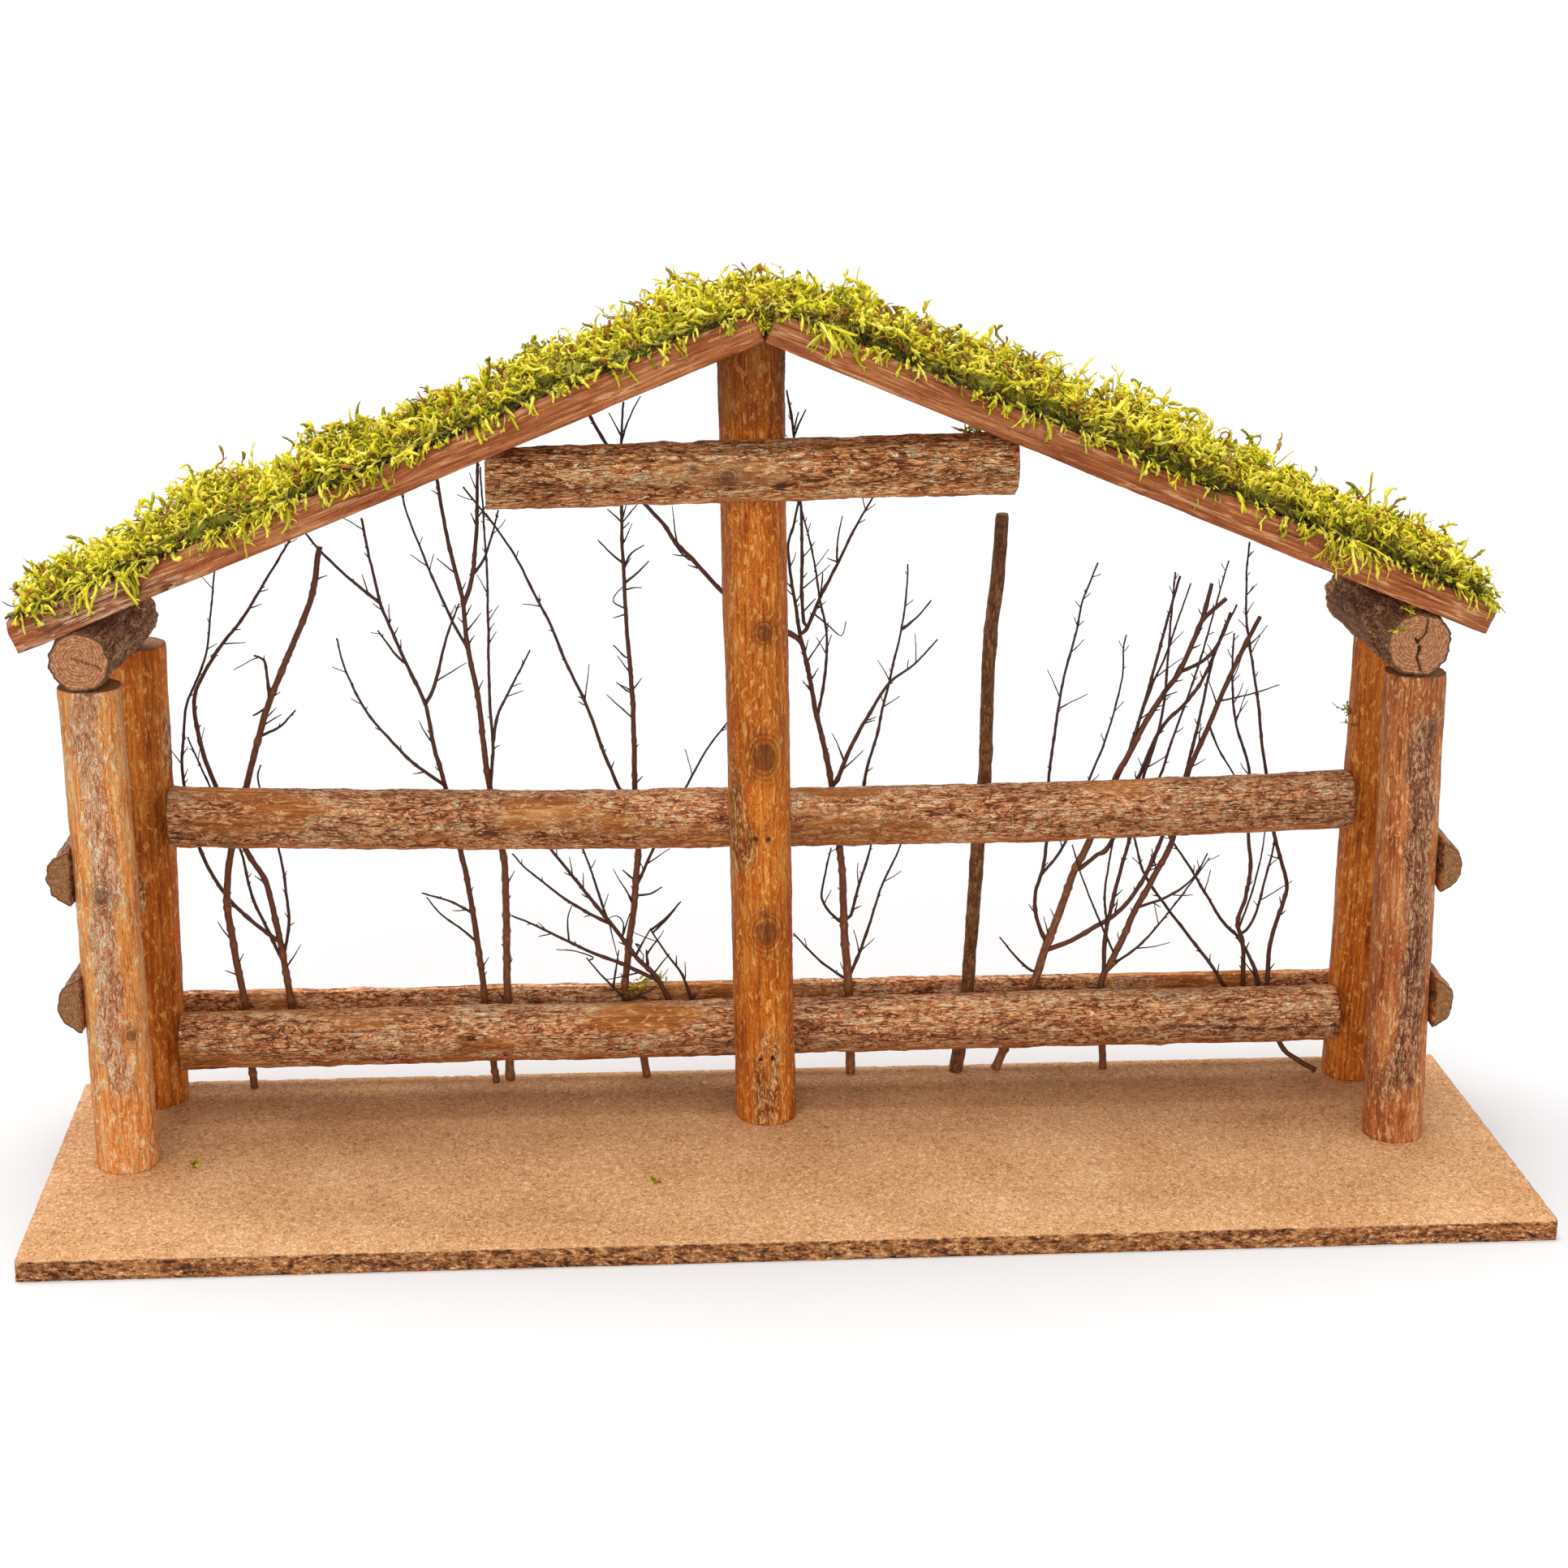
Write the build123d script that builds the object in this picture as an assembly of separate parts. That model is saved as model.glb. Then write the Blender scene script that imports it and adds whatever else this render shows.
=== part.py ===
from build123d import *
import math
import os

# A log-built nativity stable. Millimetres, +X right, +Y back, +Z up, origin under the middle.

# Base board
board_length = 600.0
board_depth = 170.0
board_thick = 8.5
board_corner = 2.0
board_x = 2.2  # the board's middle, a little right of the roof's middle

# Round posts. Side posts stand in from the board's ends; a lean is how far the top goes to the right.
post_dia = 25.0
side_post_height = 202.0
post_row_gap = 65.3  # front to rear, axis to axis
front_left_inset = 30.5
front_left_lean = -2.7
rear_left_inset = 34.3
rear_left_lean = 1.5
front_right_inset = 42.2
front_right_lean = -5.5
rear_right_inset = 42.5
rear_right_lean = 0.9
centre_offset = -5.5  # from the board's middle
centre_foot_dia = 25.6
centre_top_dia = 27.0
centre_lean = -9.0

# Purlins, the eave logs that lie front to back on the side posts. Each grows thicker to the
# rear, so that the roof bears on its whole length.
purlin_past_post = 10.5  # in front of the front posts' axes
purlin_left_dia = 24.0
purlin_left_length = 74.0
purlin_left_offset = -1.8  # from the front post's top
purlin_left_skew = 6.7
purlin_right_dia = 26.8
purlin_right_length = 89.0
purlin_right_offset = -2.7
purlin_right_skew = -1.0

# Roof slats, flat underneath with worn upper edges
roof_past_post = 11.5  # in front of the front posts' axes
slat_count = 3
slat_width = 27.0
slat_thick = 12.5
slat_round = 5.5
slat_gap = 0.4
slat_left_eave = 23.9  # down the slope past the line where the slat rests on its purlin
slat_left_pitch = 22.5
slat_right_eave = 28.7
slat_right_pitch = 22.1

# Moss mats
moss_height = 8.0
moss_lump = 46.0
moss_overhang = 2.0
moss_edge_share = 0.45
moss_ridge_gap = 0.4

# Tie log under the ridge, in front of the centre post
tie_dia = 24.2
tie_left_reach = 106.6  # from the ridge
tie_right_reach = 99.9
tie_left_drop = 55.1
tie_right_drop = 50.1

# Back rails between the rear posts
mid_rail_dia = 25.4
mid_rail_z = 137.6
mid_rail_sag = 4.3
lower_rail_dia = 24.6
lower_rail_left_z = 37.2
lower_rail_right_z = 39.6

# Low slab behind the rear posts, and the space between it and the rails for the twigs
twig_gap = 5.5
slab_thick = 4.6
slab_height = 29.0
slab_top_z = 51.0
slab_past_post = 10.0

# Half-round side rails on the outsides of the side posts
side_rail_height = 22.0
side_rail_depth = 8.5
side_rail_past_front = 8.5
side_rail_past_rear = 10.0
left_upper_z = 134.1
left_lower_z = 80.5
right_upper_z = 129.6
right_lower_z = 70.3

# Twigs that stand in the space between the back rails and the slab
twig_stem_dia = 2.6
twig_branch_dia = 1.7
twig_tip_dia = 0.9
twig_lane = 1.35
twig_bay = 498.2  # the width between the rear posts that the twigs' points are drawn for
twig_zero = 1.9  # from that width's middle to the points' zero
stick_dia = 6.2
stick_tip_dia = 5.3

# Fasteners
nail_dia = 1.8
nail_head_dia = 3.4
nail_head_thick = 0.8
nail_sink = 0.6
nail_bite = 12.0
roof_nail_share = 0.78
pin_pitch = 5.4
mid_pin_z = 136.3
lower_pin_z = 38.5
screw_dia = 3.5
screw_head_dia = 7.0
screw_head_depth = 2.4
screw_bite = 20.0

# Clearances
log_fit = 0.1
end_fit = 0.4
nail_fit = 0.05

board_top = board_thick
post_r = post_dia / 2
post_top = board_top + side_post_height


def rounded_bar(width, thick, length, radius):
    section = Rectangle(width, thick, align=(Align.CENTER, Align.MIN))
    section = fillet(section.vertices().sort_by(Axis.Y)[-2:], radius)
    return extrude(Plane.YZ * section, length)


def log_through(facing, stations):
    return loft([Plane(origin=place, z_dir=facing) * Circle(dia / 2) for place, dia in stations])


def nail(head, direction, length, extra=0.0):
    low = (Align.CENTER, Align.CENTER, Align.MIN)
    shank = Cylinder(nail_dia / 2 + extra, length + extra, align=low)
    cap = Cylinder(nail_head_dia / 2 + extra, nail_head_thick + extra, align=low)
    return Plane(origin=head, z_dir=direction) * (shank + cap)


def pin(start, direction, length, extra=0.0):
    low = (Align.CENTER, Align.CENTER, Align.MIN)
    return Plane(origin=start, z_dir=direction) * Cylinder(nail_dia / 2 + extra, length + extra, align=low)


def screw(foot, length, extra=0.0):
    low = (Align.CENTER, Align.CENTER, Align.MIN)
    shank = Cylinder(screw_dia / 2 + extra, length + extra, align=low)
    head = Cone(screw_head_dia / 2 + extra, screw_dia / 2 + extra, screw_head_depth, align=low)
    return Pos(*foot) * (shank + head)


def bored(piece, makers):
    for make in makers:
        piece = piece - make(nail_fit)
    return piece


def save(node, piece):
    export_step(piece, f"parts/{node}.step")


def save_group(node, makers):
    save(node, Compound(children=[make(0.0) for make in makers]))


# Where each post's axis is at a given height
board_left = board_x - board_length / 2
board_right = board_x + board_length / 2
posts = {
    "front_left": (board_left + front_left_inset, front_left_lean),
    "rear_left": (board_left + rear_left_inset, rear_left_lean),
    "front_right": (board_right - front_right_inset, front_right_lean),
    "rear_right": (board_right - rear_right_inset, rear_right_lean),
}


def post_x(corner, z):
    foot_x, lean = posts[corner]
    return foot_x + lean * (z - board_top) / side_post_height


# Roof planes: each lies on its purlin's front end, and the two meet at the ridge
purlin_left_x = post_x("front_left", post_top) + purlin_left_offset
purlin_right_x = post_x("front_right", post_top) + purlin_right_offset
left_slope = math.radians(slat_left_pitch)
right_slope = math.radians(slat_right_pitch)
left_seat_z = post_top + purlin_left_dia / 2 + (purlin_left_dia / 2 + log_fit) / math.cos(left_slope)
right_seat_z = post_top + purlin_right_dia / 2 + (purlin_right_dia / 2 + log_fit) / math.cos(right_slope)
run = purlin_right_x - purlin_left_x
fall = right_seat_z - left_seat_z
ridge_run = (run * math.tan(right_slope) + fall) / (math.tan(left_slope) + math.tan(right_slope))
ridge_x = purlin_left_x + ridge_run
ridge_z = left_seat_z + ridge_run * math.tan(left_slope)
slat_left_length = ridge_run / math.cos(left_slope) + slat_left_eave
slat_right_length = (run - ridge_run) / math.cos(right_slope) + slat_right_eave


def under_roof(x):
    slope = left_slope if x < ridge_x else right_slope
    return ridge_z - abs(x - ridge_x) * math.tan(slope)


def roof_trim(reach):
    outline = [
        (-reach, under_roof(-reach) - log_fit),
        (ridge_x, ridge_z - log_fit),
        (reach, under_roof(reach) - log_fit),
        (reach, -reach),
        (-reach, -reach),
    ]
    return extrude(Plane.XZ * make_face(Polyline(*outline, close=True)), reach, both=True)


under_solid = roof_trim(board_length)


# Centre post and the stack of pieces behind it, which ends at the board's back edge
centre_x = board_x + centre_offset
centre_height = ridge_z - board_top


def centre_axis(z):
    return centre_x + centre_lean * (z - board_top) / centre_height


def centre_r(z):
    share = (z - board_top) / centre_height
    return (centre_foot_dia + (centre_top_dia - centre_foot_dia) * share) / 2


slab_front = board_depth / 2 - slab_thick
mid_rail_back = slab_front - twig_gap
mid_rail_y = mid_rail_back - mid_rail_dia / 2
centre_y = mid_rail_y - mid_rail_dia / 2 - log_fit - centre_r(mid_rail_z)
lower_rail_y = centre_y + centre_r(lower_rail_left_z) + log_fit + lower_rail_dia / 2
rear_post_y = slab_front - log_fit - post_r
front_post_y = rear_post_y - post_row_gap
post_y = {"front_left": front_post_y, "front_right": front_post_y}
post_y |= {"rear_left": rear_post_y, "rear_right": rear_post_y}
purlin_front_y = front_post_y - purlin_past_post
roof_front_y = front_post_y - roof_past_post
roof_depth = slat_count * slat_width + (slat_count - 1) * slat_gap
roof_mid_y = roof_front_y + roof_depth / 2
side_rail_front_y = front_post_y - side_rail_past_front
tie_left_x = ridge_x - tie_left_reach
tie_right_x = ridge_x + tie_right_reach
tie_left_z = ridge_z - tie_left_drop
tie_right_z = ridge_z - tie_right_drop
tie_z = (tie_left_z + tie_right_z) / 2
tie_y = centre_y - centre_r(tie_z) - log_fit - tie_dia / 2


# Purlin axes, and the radius that fills the space from the post tops to the roof
purlins = {
    "left": (purlin_left_x, purlin_left_skew, purlin_left_length),
    "right": (purlin_right_x, purlin_right_skew, purlin_right_length),
}
slats = {
    "left": (-1, left_slope, slat_left_length),
    "right": (1, right_slope, slat_right_length),
}


def purlin_x(side, y):
    front_x, skew, length = purlins[side]
    return front_x + skew * (y - purlin_front_y) / length


def purlin_r(side, y):
    slope = slats[side][1]
    room = under_roof(purlin_x(side, y)) - post_top - log_fit / math.cos(slope)
    return room / (1 + 1 / math.cos(slope))


# Fastener places. Each maker takes the extra radius that a bore needs.
def purlin_nail(corner):
    side = corner.split("_")[1]
    y = min(post_y[corner], purlin_front_y + purlins[side][2] - post_r / 2)
    x = (purlin_x(side, y) + post_x(corner, post_top)) / 2
    offset = x - purlin_x(side, y)
    r = purlin_r(side, y)
    top = post_top + r + math.sqrt(r**2 - offset**2) - nail_sink
    return lambda extra: nail((x, y, top), (0, 0, -1), top - post_top + nail_bite, extra)


def slat_y(index):
    return roof_front_y + slat_width / 2 + index * (slat_width + slat_gap)


def roof_nail(side, index):
    sign, slope, _ = slats[side]
    y = roof_mid_y + (slat_y(index) - roof_mid_y) * roof_nail_share
    r = purlin_r(side, y)
    normal = Vector(sign * math.sin(slope), 0, math.cos(slope))
    head = Vector(purlin_x(side, y), y, post_top + r) + normal * (r + log_fit + slat_thick - nail_sink)
    return lambda extra: nail(head, normal * -1, slat_thick + nail_bite, extra)


def ridge_nail(side):
    sign, slope, _ = slats[side]
    x = (ridge_x + centre_axis(ridge_z)) / 2 + sign * centre_top_dia / 4
    top = under_roof(x) + (slat_thick - nail_sink) / math.cos(slope)
    return lambda extra: nail((x, centre_y, top), (0, 0, -1), top - under_roof(x) + nail_bite, extra)


side_rail_z = {
    "left_upper": left_upper_z,
    "left_lower": left_lower_z,
    "right_upper": right_upper_z,
    "right_lower": right_lower_z,
}


def side_rail_frame(place):
    side = place.split("_")[0]
    z = side_rail_z[place]
    front = Vector(post_x("front_" + side, z), front_post_y, z)
    rear = Vector(post_x("rear_" + side, z), rear_post_y, z)
    along = (rear - front).normalized()
    out = Vector(-along.Y, along.X, 0) if side == "left" else Vector(along.Y, -along.X, 0)
    lean = max(abs(posts["front_" + side][1]), abs(posts["rear_" + side][1]))
    reach = post_r + log_fit + lean * side_rail_height / 2 / side_post_height
    return front, rear, along, out, reach


def side_rail_nail(place, end):
    front, rear, along, out, reach = side_rail_frame(place)
    seat = front if end == "front" else rear
    head = seat + out * (reach + side_rail_depth - nail_sink)
    return lambda extra: nail(head, out * -1, side_rail_depth + nail_bite, extra)


def slab_nail(corner):
    z = slab_top_z - slab_height / 2
    head = (post_x(corner, z), slab_front + slab_thick - nail_sink, z)
    return lambda extra: nail(head, (0, -1, 0), slab_thick + nail_bite, extra)


def centre_pin(z, offset, facing):
    x = centre_axis(z) + offset
    depth = math.sqrt(centre_r(z) ** 2 - offset**2) - nail_sink
    start = (x, centre_y - facing * depth, z)
    return lambda extra: pin(start, (0, facing, 0), centre_r(z) + depth + nail_bite, extra)


def rail_end_nail(corner, rail_y, z):
    inward = 1 if corner == "rear_left" else -1
    half_chord = math.sqrt(post_r**2 - (rail_y - rear_post_y) ** 2)
    head = (post_x(corner, z) - inward * (half_chord - nail_sink), rail_y, z)
    return lambda extra: nail(head, (inward, 0, 0), post_r + half_chord + end_fit + nail_bite, extra)


def post_screw(x, y):
    return lambda extra: screw((x, y, 0), board_thick + screw_bite, extra)


post_screws = {corner: post_screw(posts[corner][0], post_y[corner]) for corner in posts}
post_screws["centre"] = post_screw(centre_x, centre_y)
purlin_nails = {corner: purlin_nail(corner) for corner in posts}
roof_nails = {(side, i): roof_nail(side, i) for side in slats for i in range(slat_count)}
ridge_nails = {side: ridge_nail(side) for side in slats}
ends = ("front", "rear")
side_rail_nails = {(place, end): side_rail_nail(place, end) for place in side_rail_z for end in ends}
slab_nails = {corner: slab_nail(corner) for corner in ("rear_left", "rear_right")}
mid_pins = [centre_pin(mid_pin_z, offset, 1) for offset in (-pin_pitch / 2, pin_pitch / 2)]
lower_pins = [centre_pin(lower_pin_z, offset, 1) for offset in (-pin_pitch / 2, pin_pitch / 2)]
tie_pins = [centre_pin(tie_z, offset, -1) for offset in (-pin_pitch / 2, pin_pitch / 2)]
mid_end_nails = {c: rail_end_nail(c, mid_rail_y, mid_rail_z) for c in slab_nails}
lower_end_z = {"rear_left": lower_rail_left_z, "rear_right": lower_rail_right_z}
lower_end_nails = {c: rail_end_nail(c, lower_rail_y, lower_end_z[c]) for c in slab_nails}

os.makedirs("parts", exist_ok=True)

# Base board
low = (Align.CENTER, Align.CENTER, Align.MIN)
board = Pos(board_x, 0, 0) * Box(board_length, board_depth, board_thick, align=low)
board = fillet(board.edges().filter_by(Axis.Z), board_corner)
save("base_board", bored(board, post_screws.values()))

# Side posts
for corner, (foot_x, lean) in posts.items():
    y = post_y[corner]
    stations = [((foot_x, y, board_top), post_dia), ((foot_x + lean, y, post_top), post_dia)]
    makers = [post_screws[corner], purlin_nails[corner]]
    for (place, end), make in side_rail_nails.items():
        if f"{end}_{place.split('_')[0]}" == corner:
            makers.append(make)
    if corner in slab_nails:
        makers += [slab_nails[corner], mid_end_nails[corner], lower_end_nails[corner]]
    save(f"post_{corner}", bored(log_through((0, 0, 1), stations), makers))

# Centre post, cut to the roof's underside
foot = (centre_x, centre_y, board_top)
top = (centre_axis(ridge_z), centre_y, ridge_z)
log = log_through((0, 0, 1), [(foot, centre_foot_dia), (top, centre_top_dia)]) & under_solid
makers = [post_screws["centre"], *ridge_nails.values(), *mid_pins, *lower_pins, *tie_pins]
save("post_centre", bored(log, makers))

# Purlins
for side in purlins:
    stations = []
    for y in (purlin_front_y, purlin_front_y + purlins[side][2]):
        r = purlin_r(side, y)
        stations.append(((purlin_x(side, y), y, post_top + r), 2 * r))
    makers = [make for corner, make in purlin_nails.items() if corner.endswith(side)]
    makers += [make for (own, _), make in roof_nails.items() if own == side]
    save(f"purlin_{side}", bored(log_through((0, 1, 0), stations), makers))

# Roof slats
for side, (sign, slope, length) in slats.items():
    for index in range(slat_count):
        bar = rounded_bar(slat_width, slat_thick, length, slat_round)
        if sign < 0:
            bar = Pos(-length, 0, 0) * bar
        bar = Pos(ridge_x, slat_y(index), ridge_z) * Rot(0, sign * math.degrees(slope), 0) * bar
        makers = [roof_nails[side, index]]
        if abs(slat_y(index) - centre_y) < slat_width / 2:
            makers.append(ridge_nails[side])
        save(f"roof_slat_{side}_{index + 1}", bored(bar, makers))


# Moss mats: a lumpy blanket on each slope, cut at the ridge
def moss_section(length, y, share, phase):
    up = slat_thick * math.tan(left_slope) + moss_height
    steps = max(4, round(length / moss_lump * 2))
    crest = []
    for step in range(steps + 1):
        x = (length + up) * step / steps
        wave = 0.8 + 0.2 * math.sin(2 * math.pi * x / moss_lump + phase)
        crest.append((x - up, slat_thick + moss_height * share * wave))
    sides = Polyline(crest[-1], (length, slat_thick), (-up, slat_thick), crest[0])
    return Plane((0, y, 0), x_dir=(1, 0, 0), z_dir=(0, -1, 0)) * make_face([Spline(*crest), *sides.edges()])


for side, (sign, slope, length) in slats.items():
    rear_y = roof_front_y + roof_depth + moss_overhang
    front_y = roof_front_y - moss_overhang
    rows = [(0.0, moss_edge_share), (0.25, 1.0), (0.5, 0.9), (0.75, 1.0), (1.0, moss_edge_share)]
    sections = []
    for row, (depth, share) in enumerate(rows):
        sections.append(moss_section(length, front_y + (rear_y - front_y) * depth, share, 2.1 * row))
    mat = loft(sections, ruled=True)
    if sign < 0:
        mat = mirror(mat, about=Plane.YZ)
    mat = Pos(ridge_x, 0, ridge_z) * Rot(0, sign * math.degrees(slope), 0) * mat
    aside = (Align.MIN, Align.CENTER, Align.CENTER)
    half = Box(board_length, 2 * board_length, 2 * board_length, align=aside)
    if sign < 0:
        half = mirror(half, about=Plane.YZ)
    mat = mat & Pos(ridge_x + sign * moss_ridge_gap / 2, 0, 0) * half
    save(f"moss_{side}", mat)

# Tie log, its ends cut to the roof's underside
stations = [((tie_left_x, tie_y, tie_left_z), tie_dia), ((tie_right_x, tie_y, tie_right_z), tie_dia)]
save("tie_log", bored(log_through((1, 0, 0), stations) & under_solid, tie_pins))


# Back rails, their ends cut upright against the rear posts
def rail_ends(z, dia):
    left = max(post_x("rear_left", z - dia / 2), post_x("rear_left", z + dia / 2)) + post_r + end_fit
    right = min(post_x("rear_right", z - dia / 2), post_x("rear_right", z + dia / 2)) - post_r - end_fit
    return left, right


left_x, right_x = rail_ends(mid_rail_z, mid_rail_dia)
stations = [((left_x, mid_rail_y, mid_rail_z), mid_rail_dia)]
stations.append((((left_x + right_x) / 2, mid_rail_y, mid_rail_z - mid_rail_sag), mid_rail_dia))
stations.append(((right_x, mid_rail_y, mid_rail_z), mid_rail_dia))
save("mid_rail", bored(log_through((1, 0, 0), stations), [*mid_pins, *mid_end_nails.values()]))

left_x, right_x = rail_ends((lower_rail_left_z + lower_rail_right_z) / 2, lower_rail_dia)
stations = [((left_x, lower_rail_y, lower_rail_left_z), lower_rail_dia)]
stations.append(((right_x, lower_rail_y, lower_rail_right_z), lower_rail_dia))
save("lower_rail", bored(log_through((1, 0, 0), stations), [*lower_pins, *lower_end_nails.values()]))

# Rear slab, nailed to the backs of the rear posts
slab_left = post_x("rear_left", slab_top_z) - slab_past_post
slab_right = post_x("rear_right", slab_top_z) + slab_past_post
slab = Pos((slab_left + slab_right) / 2, slab_front, slab_top_z) * Box(
    slab_right - slab_left, slab_thick, slab_height, align=(Align.CENTER, Align.MIN, Align.MAX)
)
save("rear_slab", bored(slab, slab_nails.values()))

# Side rails, half-round with the flat against the posts
for place in side_rail_z:
    front, rear, along, out, reach = side_rail_frame(place)
    half = side_rail_height / 2
    bark = ThreePointArc((0, -half), (side_rail_depth, 0), (0, half))
    section = make_face([bark, Line((0, half), (0, -half))])
    seat = front + out * reach + along * ((side_rail_front_y - front_post_y) / along.Y)
    length = (rear_post_y + side_rail_past_rear - side_rail_front_y) / along.Y
    turn = Plane(origin=seat, x_dir=out, z_dir=along)
    bar = extrude(turn * section, length)
    save(f"side_rail_{place}", bored(bar, [side_rail_nails[place, end] for end in ends]))

# Twigs. Points are (x, height over the board), spread to fit between the rear posts. A branch says
# which limb it grows from, counting the stem as 0, and at what height, and then its points. All limbs
# of a twig share one lane, which is its distance behind the middle of the space, and may drift by so
# much between two heights. A bend brings the foot forward below its height.
twig_y = (mid_rail_back + slab_front) / 2
clear_left = post_x("rear_left", board_top) + post_r
clear_right = post_x("rear_right", board_top) - post_r
twig_spread = (clear_right - clear_left) / twig_bay
twig_x = (clear_left + clear_right) / 2 + twig_zero * twig_spread
twigs = {
    "twig_1": {
        "lane": -twig_lane,
        "drift": (-2.0, 142, 240),
        "stem": [(-224, 0), (-226, 36), (-232, 86), (-221, 137), (-210, 173), (-191, 217), (-186, 240)],
        "branches": [(0, 175, [(-210, 190), (-215, 195)]), (0, 160, [(-199, 170)])],
    },
    "twig_2": {
        "lane": twig_lane,
        "drift": (2.0, 142, 240),
        "stem": [(-206, 28), (-209, 60), (-214, 92), (-234, 138), (-240, 170), (-231, 194), (-197, 244)],
        "branches": [
            (0, 66, [(-233, 89), (-247, 138), (-244, 172), (-235, 195), (-230, 231)]),
            (0, 58, [(-221, 87), (-237, 138), (-245, 157)]),
            (0, 56, [(-206, 83), (-216, 137), (-215, 146)]),
        ],
    },
    "twig_3": {
        "lane": -twig_lane,
        "drift": (2.0, 192, 245),
        "stem": [(-119, 0), (-123, 36), (-130, 95), (-138, 136), (-145, 172), (-162, 215), (-169, 251)],
        "branches": [
            (0, 213, [(-175, 226), (-193, 246)]),
            (0, 171, [(-135, 201), (-130, 214)]),
            (0, 135, [(-161, 157), (-178, 187), (-181, 200)]),
            (0, 79, [(-149, 88)]),
        ],
    },
    "twig_4": {
        "lane": twig_lane,
        "drift": (2.5, 142, 275),
        "stem": [(-113, 0), (-113, 95), (-119, 136), (-123, 176), (-128, 214), (-138, 268)],
        "branches": [
            (0, 211, [(-122, 247), (-121, 276)]),
            (0, 196, [(-142, 227), (-152, 264)]),
            (0, 155, [(-114, 172), (-101, 193)]),
        ],
    },
    "twig_5": {
        "lane": twig_lane,
        "drift": (-3.5, 142, 260),
        "stem": [(-53, 0), (-62, 40), (-57, 94), (-57, 162), (-60, 208), (-62, 246), (-61, 299)],
        "branches": [
            (0, 118, [(-71, 150), (-87, 191), (-106, 234), (-127, 264)]),
            (0, 88, [(-50, 104), (-26, 150), (-17, 162)]),
        ],
    },
    "twig_6": {
        "lane": -twig_lane,
        "stem": [(-37, 22), (-49, 47), (-68, 72), (-92, 105), (-113, 133)],
        "branches": [
            (0, 70, [(-85, 82), (-110, 105)]),
            (0, 46, [(-76, 59), (-111, 77)]),
            (0, 73, [(-79, 104), (-86, 123)]),
            (0, 25, [(-37, 48), (-49, 66), (-51, 72)]),
        ],
    },
    "twig_7": {
        "lane": 0.0,
        "stem": [(37, 0), (36, 37), (32, 99), (27, 134), (16, 186), (7, 236), (12, 260)],
        "branches": [
            (0, 194, [(21, 216), (44, 260)]),
            (0, 198, [(13, 235), (6, 303)]),
            (0, 40, [(47, 80), (60, 117)]),
            (0, 38, [(25, 51), (11, 66)]),
            (0, 134, [(43, 165), (71, 197)]),
            (5, 168, [(56, 202), (58, 229)]),
        ],
    },
    "twig_8": {
        "lane": twig_lane,
        "drift": (2.6, 142, 205),
        "stem": [(102, 0), (117, 37), (128, 72), (140, 105), (151, 135), (169, 170), (185, 203), (195, 213)],
        "branches": [
            (0, 54, [(117, 83), (121, 105), (123, 154), (131, 199), (139, 229)]),
            (1, 90, [(139, 135), (152, 180), (153, 197)]),
            (0, 56, [(154, 73), (171, 106), (185, 156), (200, 210)]),
            (0, 92, [(150, 107), (167, 151), (188, 179), (198, 200)]),
            (0, 34, [(108, 54), (102, 62)]),
        ],
    },
    "twig_9": {
        "lane": -twig_lane,
        "drift": (-3.5, 142, 200),
        "stem": [(150, 0), (148, 38), (161, 74), (176, 106), (181, 137), (195, 177), (208, 207)],
        "branches": [
            (0, 39, [(150, 73), (162, 134), (169, 163), (171, 226)]),
            (0, 72, [(181, 84), (192, 100)]),
        ],
    },
    "twig_10": {
        "lane": twig_lane,
        "drift": (4.0, 45, 57),
        "stem": [(206, 32), (199, 45), (187, 59), (165, 90), (152, 123)],
    },
    "twig_11": {
        "lane": twig_lane,
        "drift": (4.0, 45, 57),
        "stem": [(219.5, 31), (217, 45), (212, 57), (187, 90), (167, 119)],
    },
    "twig_12": {
        "lane": twig_lane,
        "drift": (-2.5, 142, 195),
        "stem": [(212.5, 30), (211, 56), (208, 67), (212, 94), (209, 136), (199, 174), (198, 199)],
        "branches": [(0, 66, [(216, 80), (220, 97)])],
    },
    "twig_13": {
        "lane": twig_lane,
        "bend": (-12.0, 25),
        "stem": [
            *[(244, 0), (236, 5), (229, 12), (224, 25), (223, 52)],
            *[(229, 86), (217, 136), (207, 190), (203, 238)],
        ],
    },
    "twig_stick": {
        "lane": -0.5,
        "drift": (1.3, 46, 108),
        "stem": [(84, 0), (88, 37), (91, 105), (93, 165), (97, 252)],
    },
}


def limb(path, twig, first_dia, last_dia):
    shift, low, high = twig.get("drift", (0.0, 0.0, 1.0))
    sway, until = twig.get("bend", (0.0, 1.0))
    spots = []
    for x, height in path:
        y = twig_y + twig["lane"] + shift * min(max((height - low) / (high - low), 0), 1)
        y += sway * max(1 - height / until, 0)
        spots.append(Vector(twig_x + x * twig_spread, y, board_top + height))
    sections = []
    for step, spot in enumerate(spots):
        ahead = spots[min(step + 1, len(spots) - 1)] - spots[max(step - 1, 0)]
        facing = Vector(0, 0, 1) if spot.Z <= board_top else ahead
        dia = first_dia + (last_dia - first_dia) * step / (len(spots) - 1)
        sections.append(Plane(origin=spot, z_dir=facing) * Circle(dia / 2))
    return loft(sections, ruled=True)


def point_on(path, height):
    for (x, low), (next_x, high) in zip(path, path[1:]):
        if low <= height <= high:
            return x + (next_x - x) * (height - low) / (high - low), height


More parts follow.
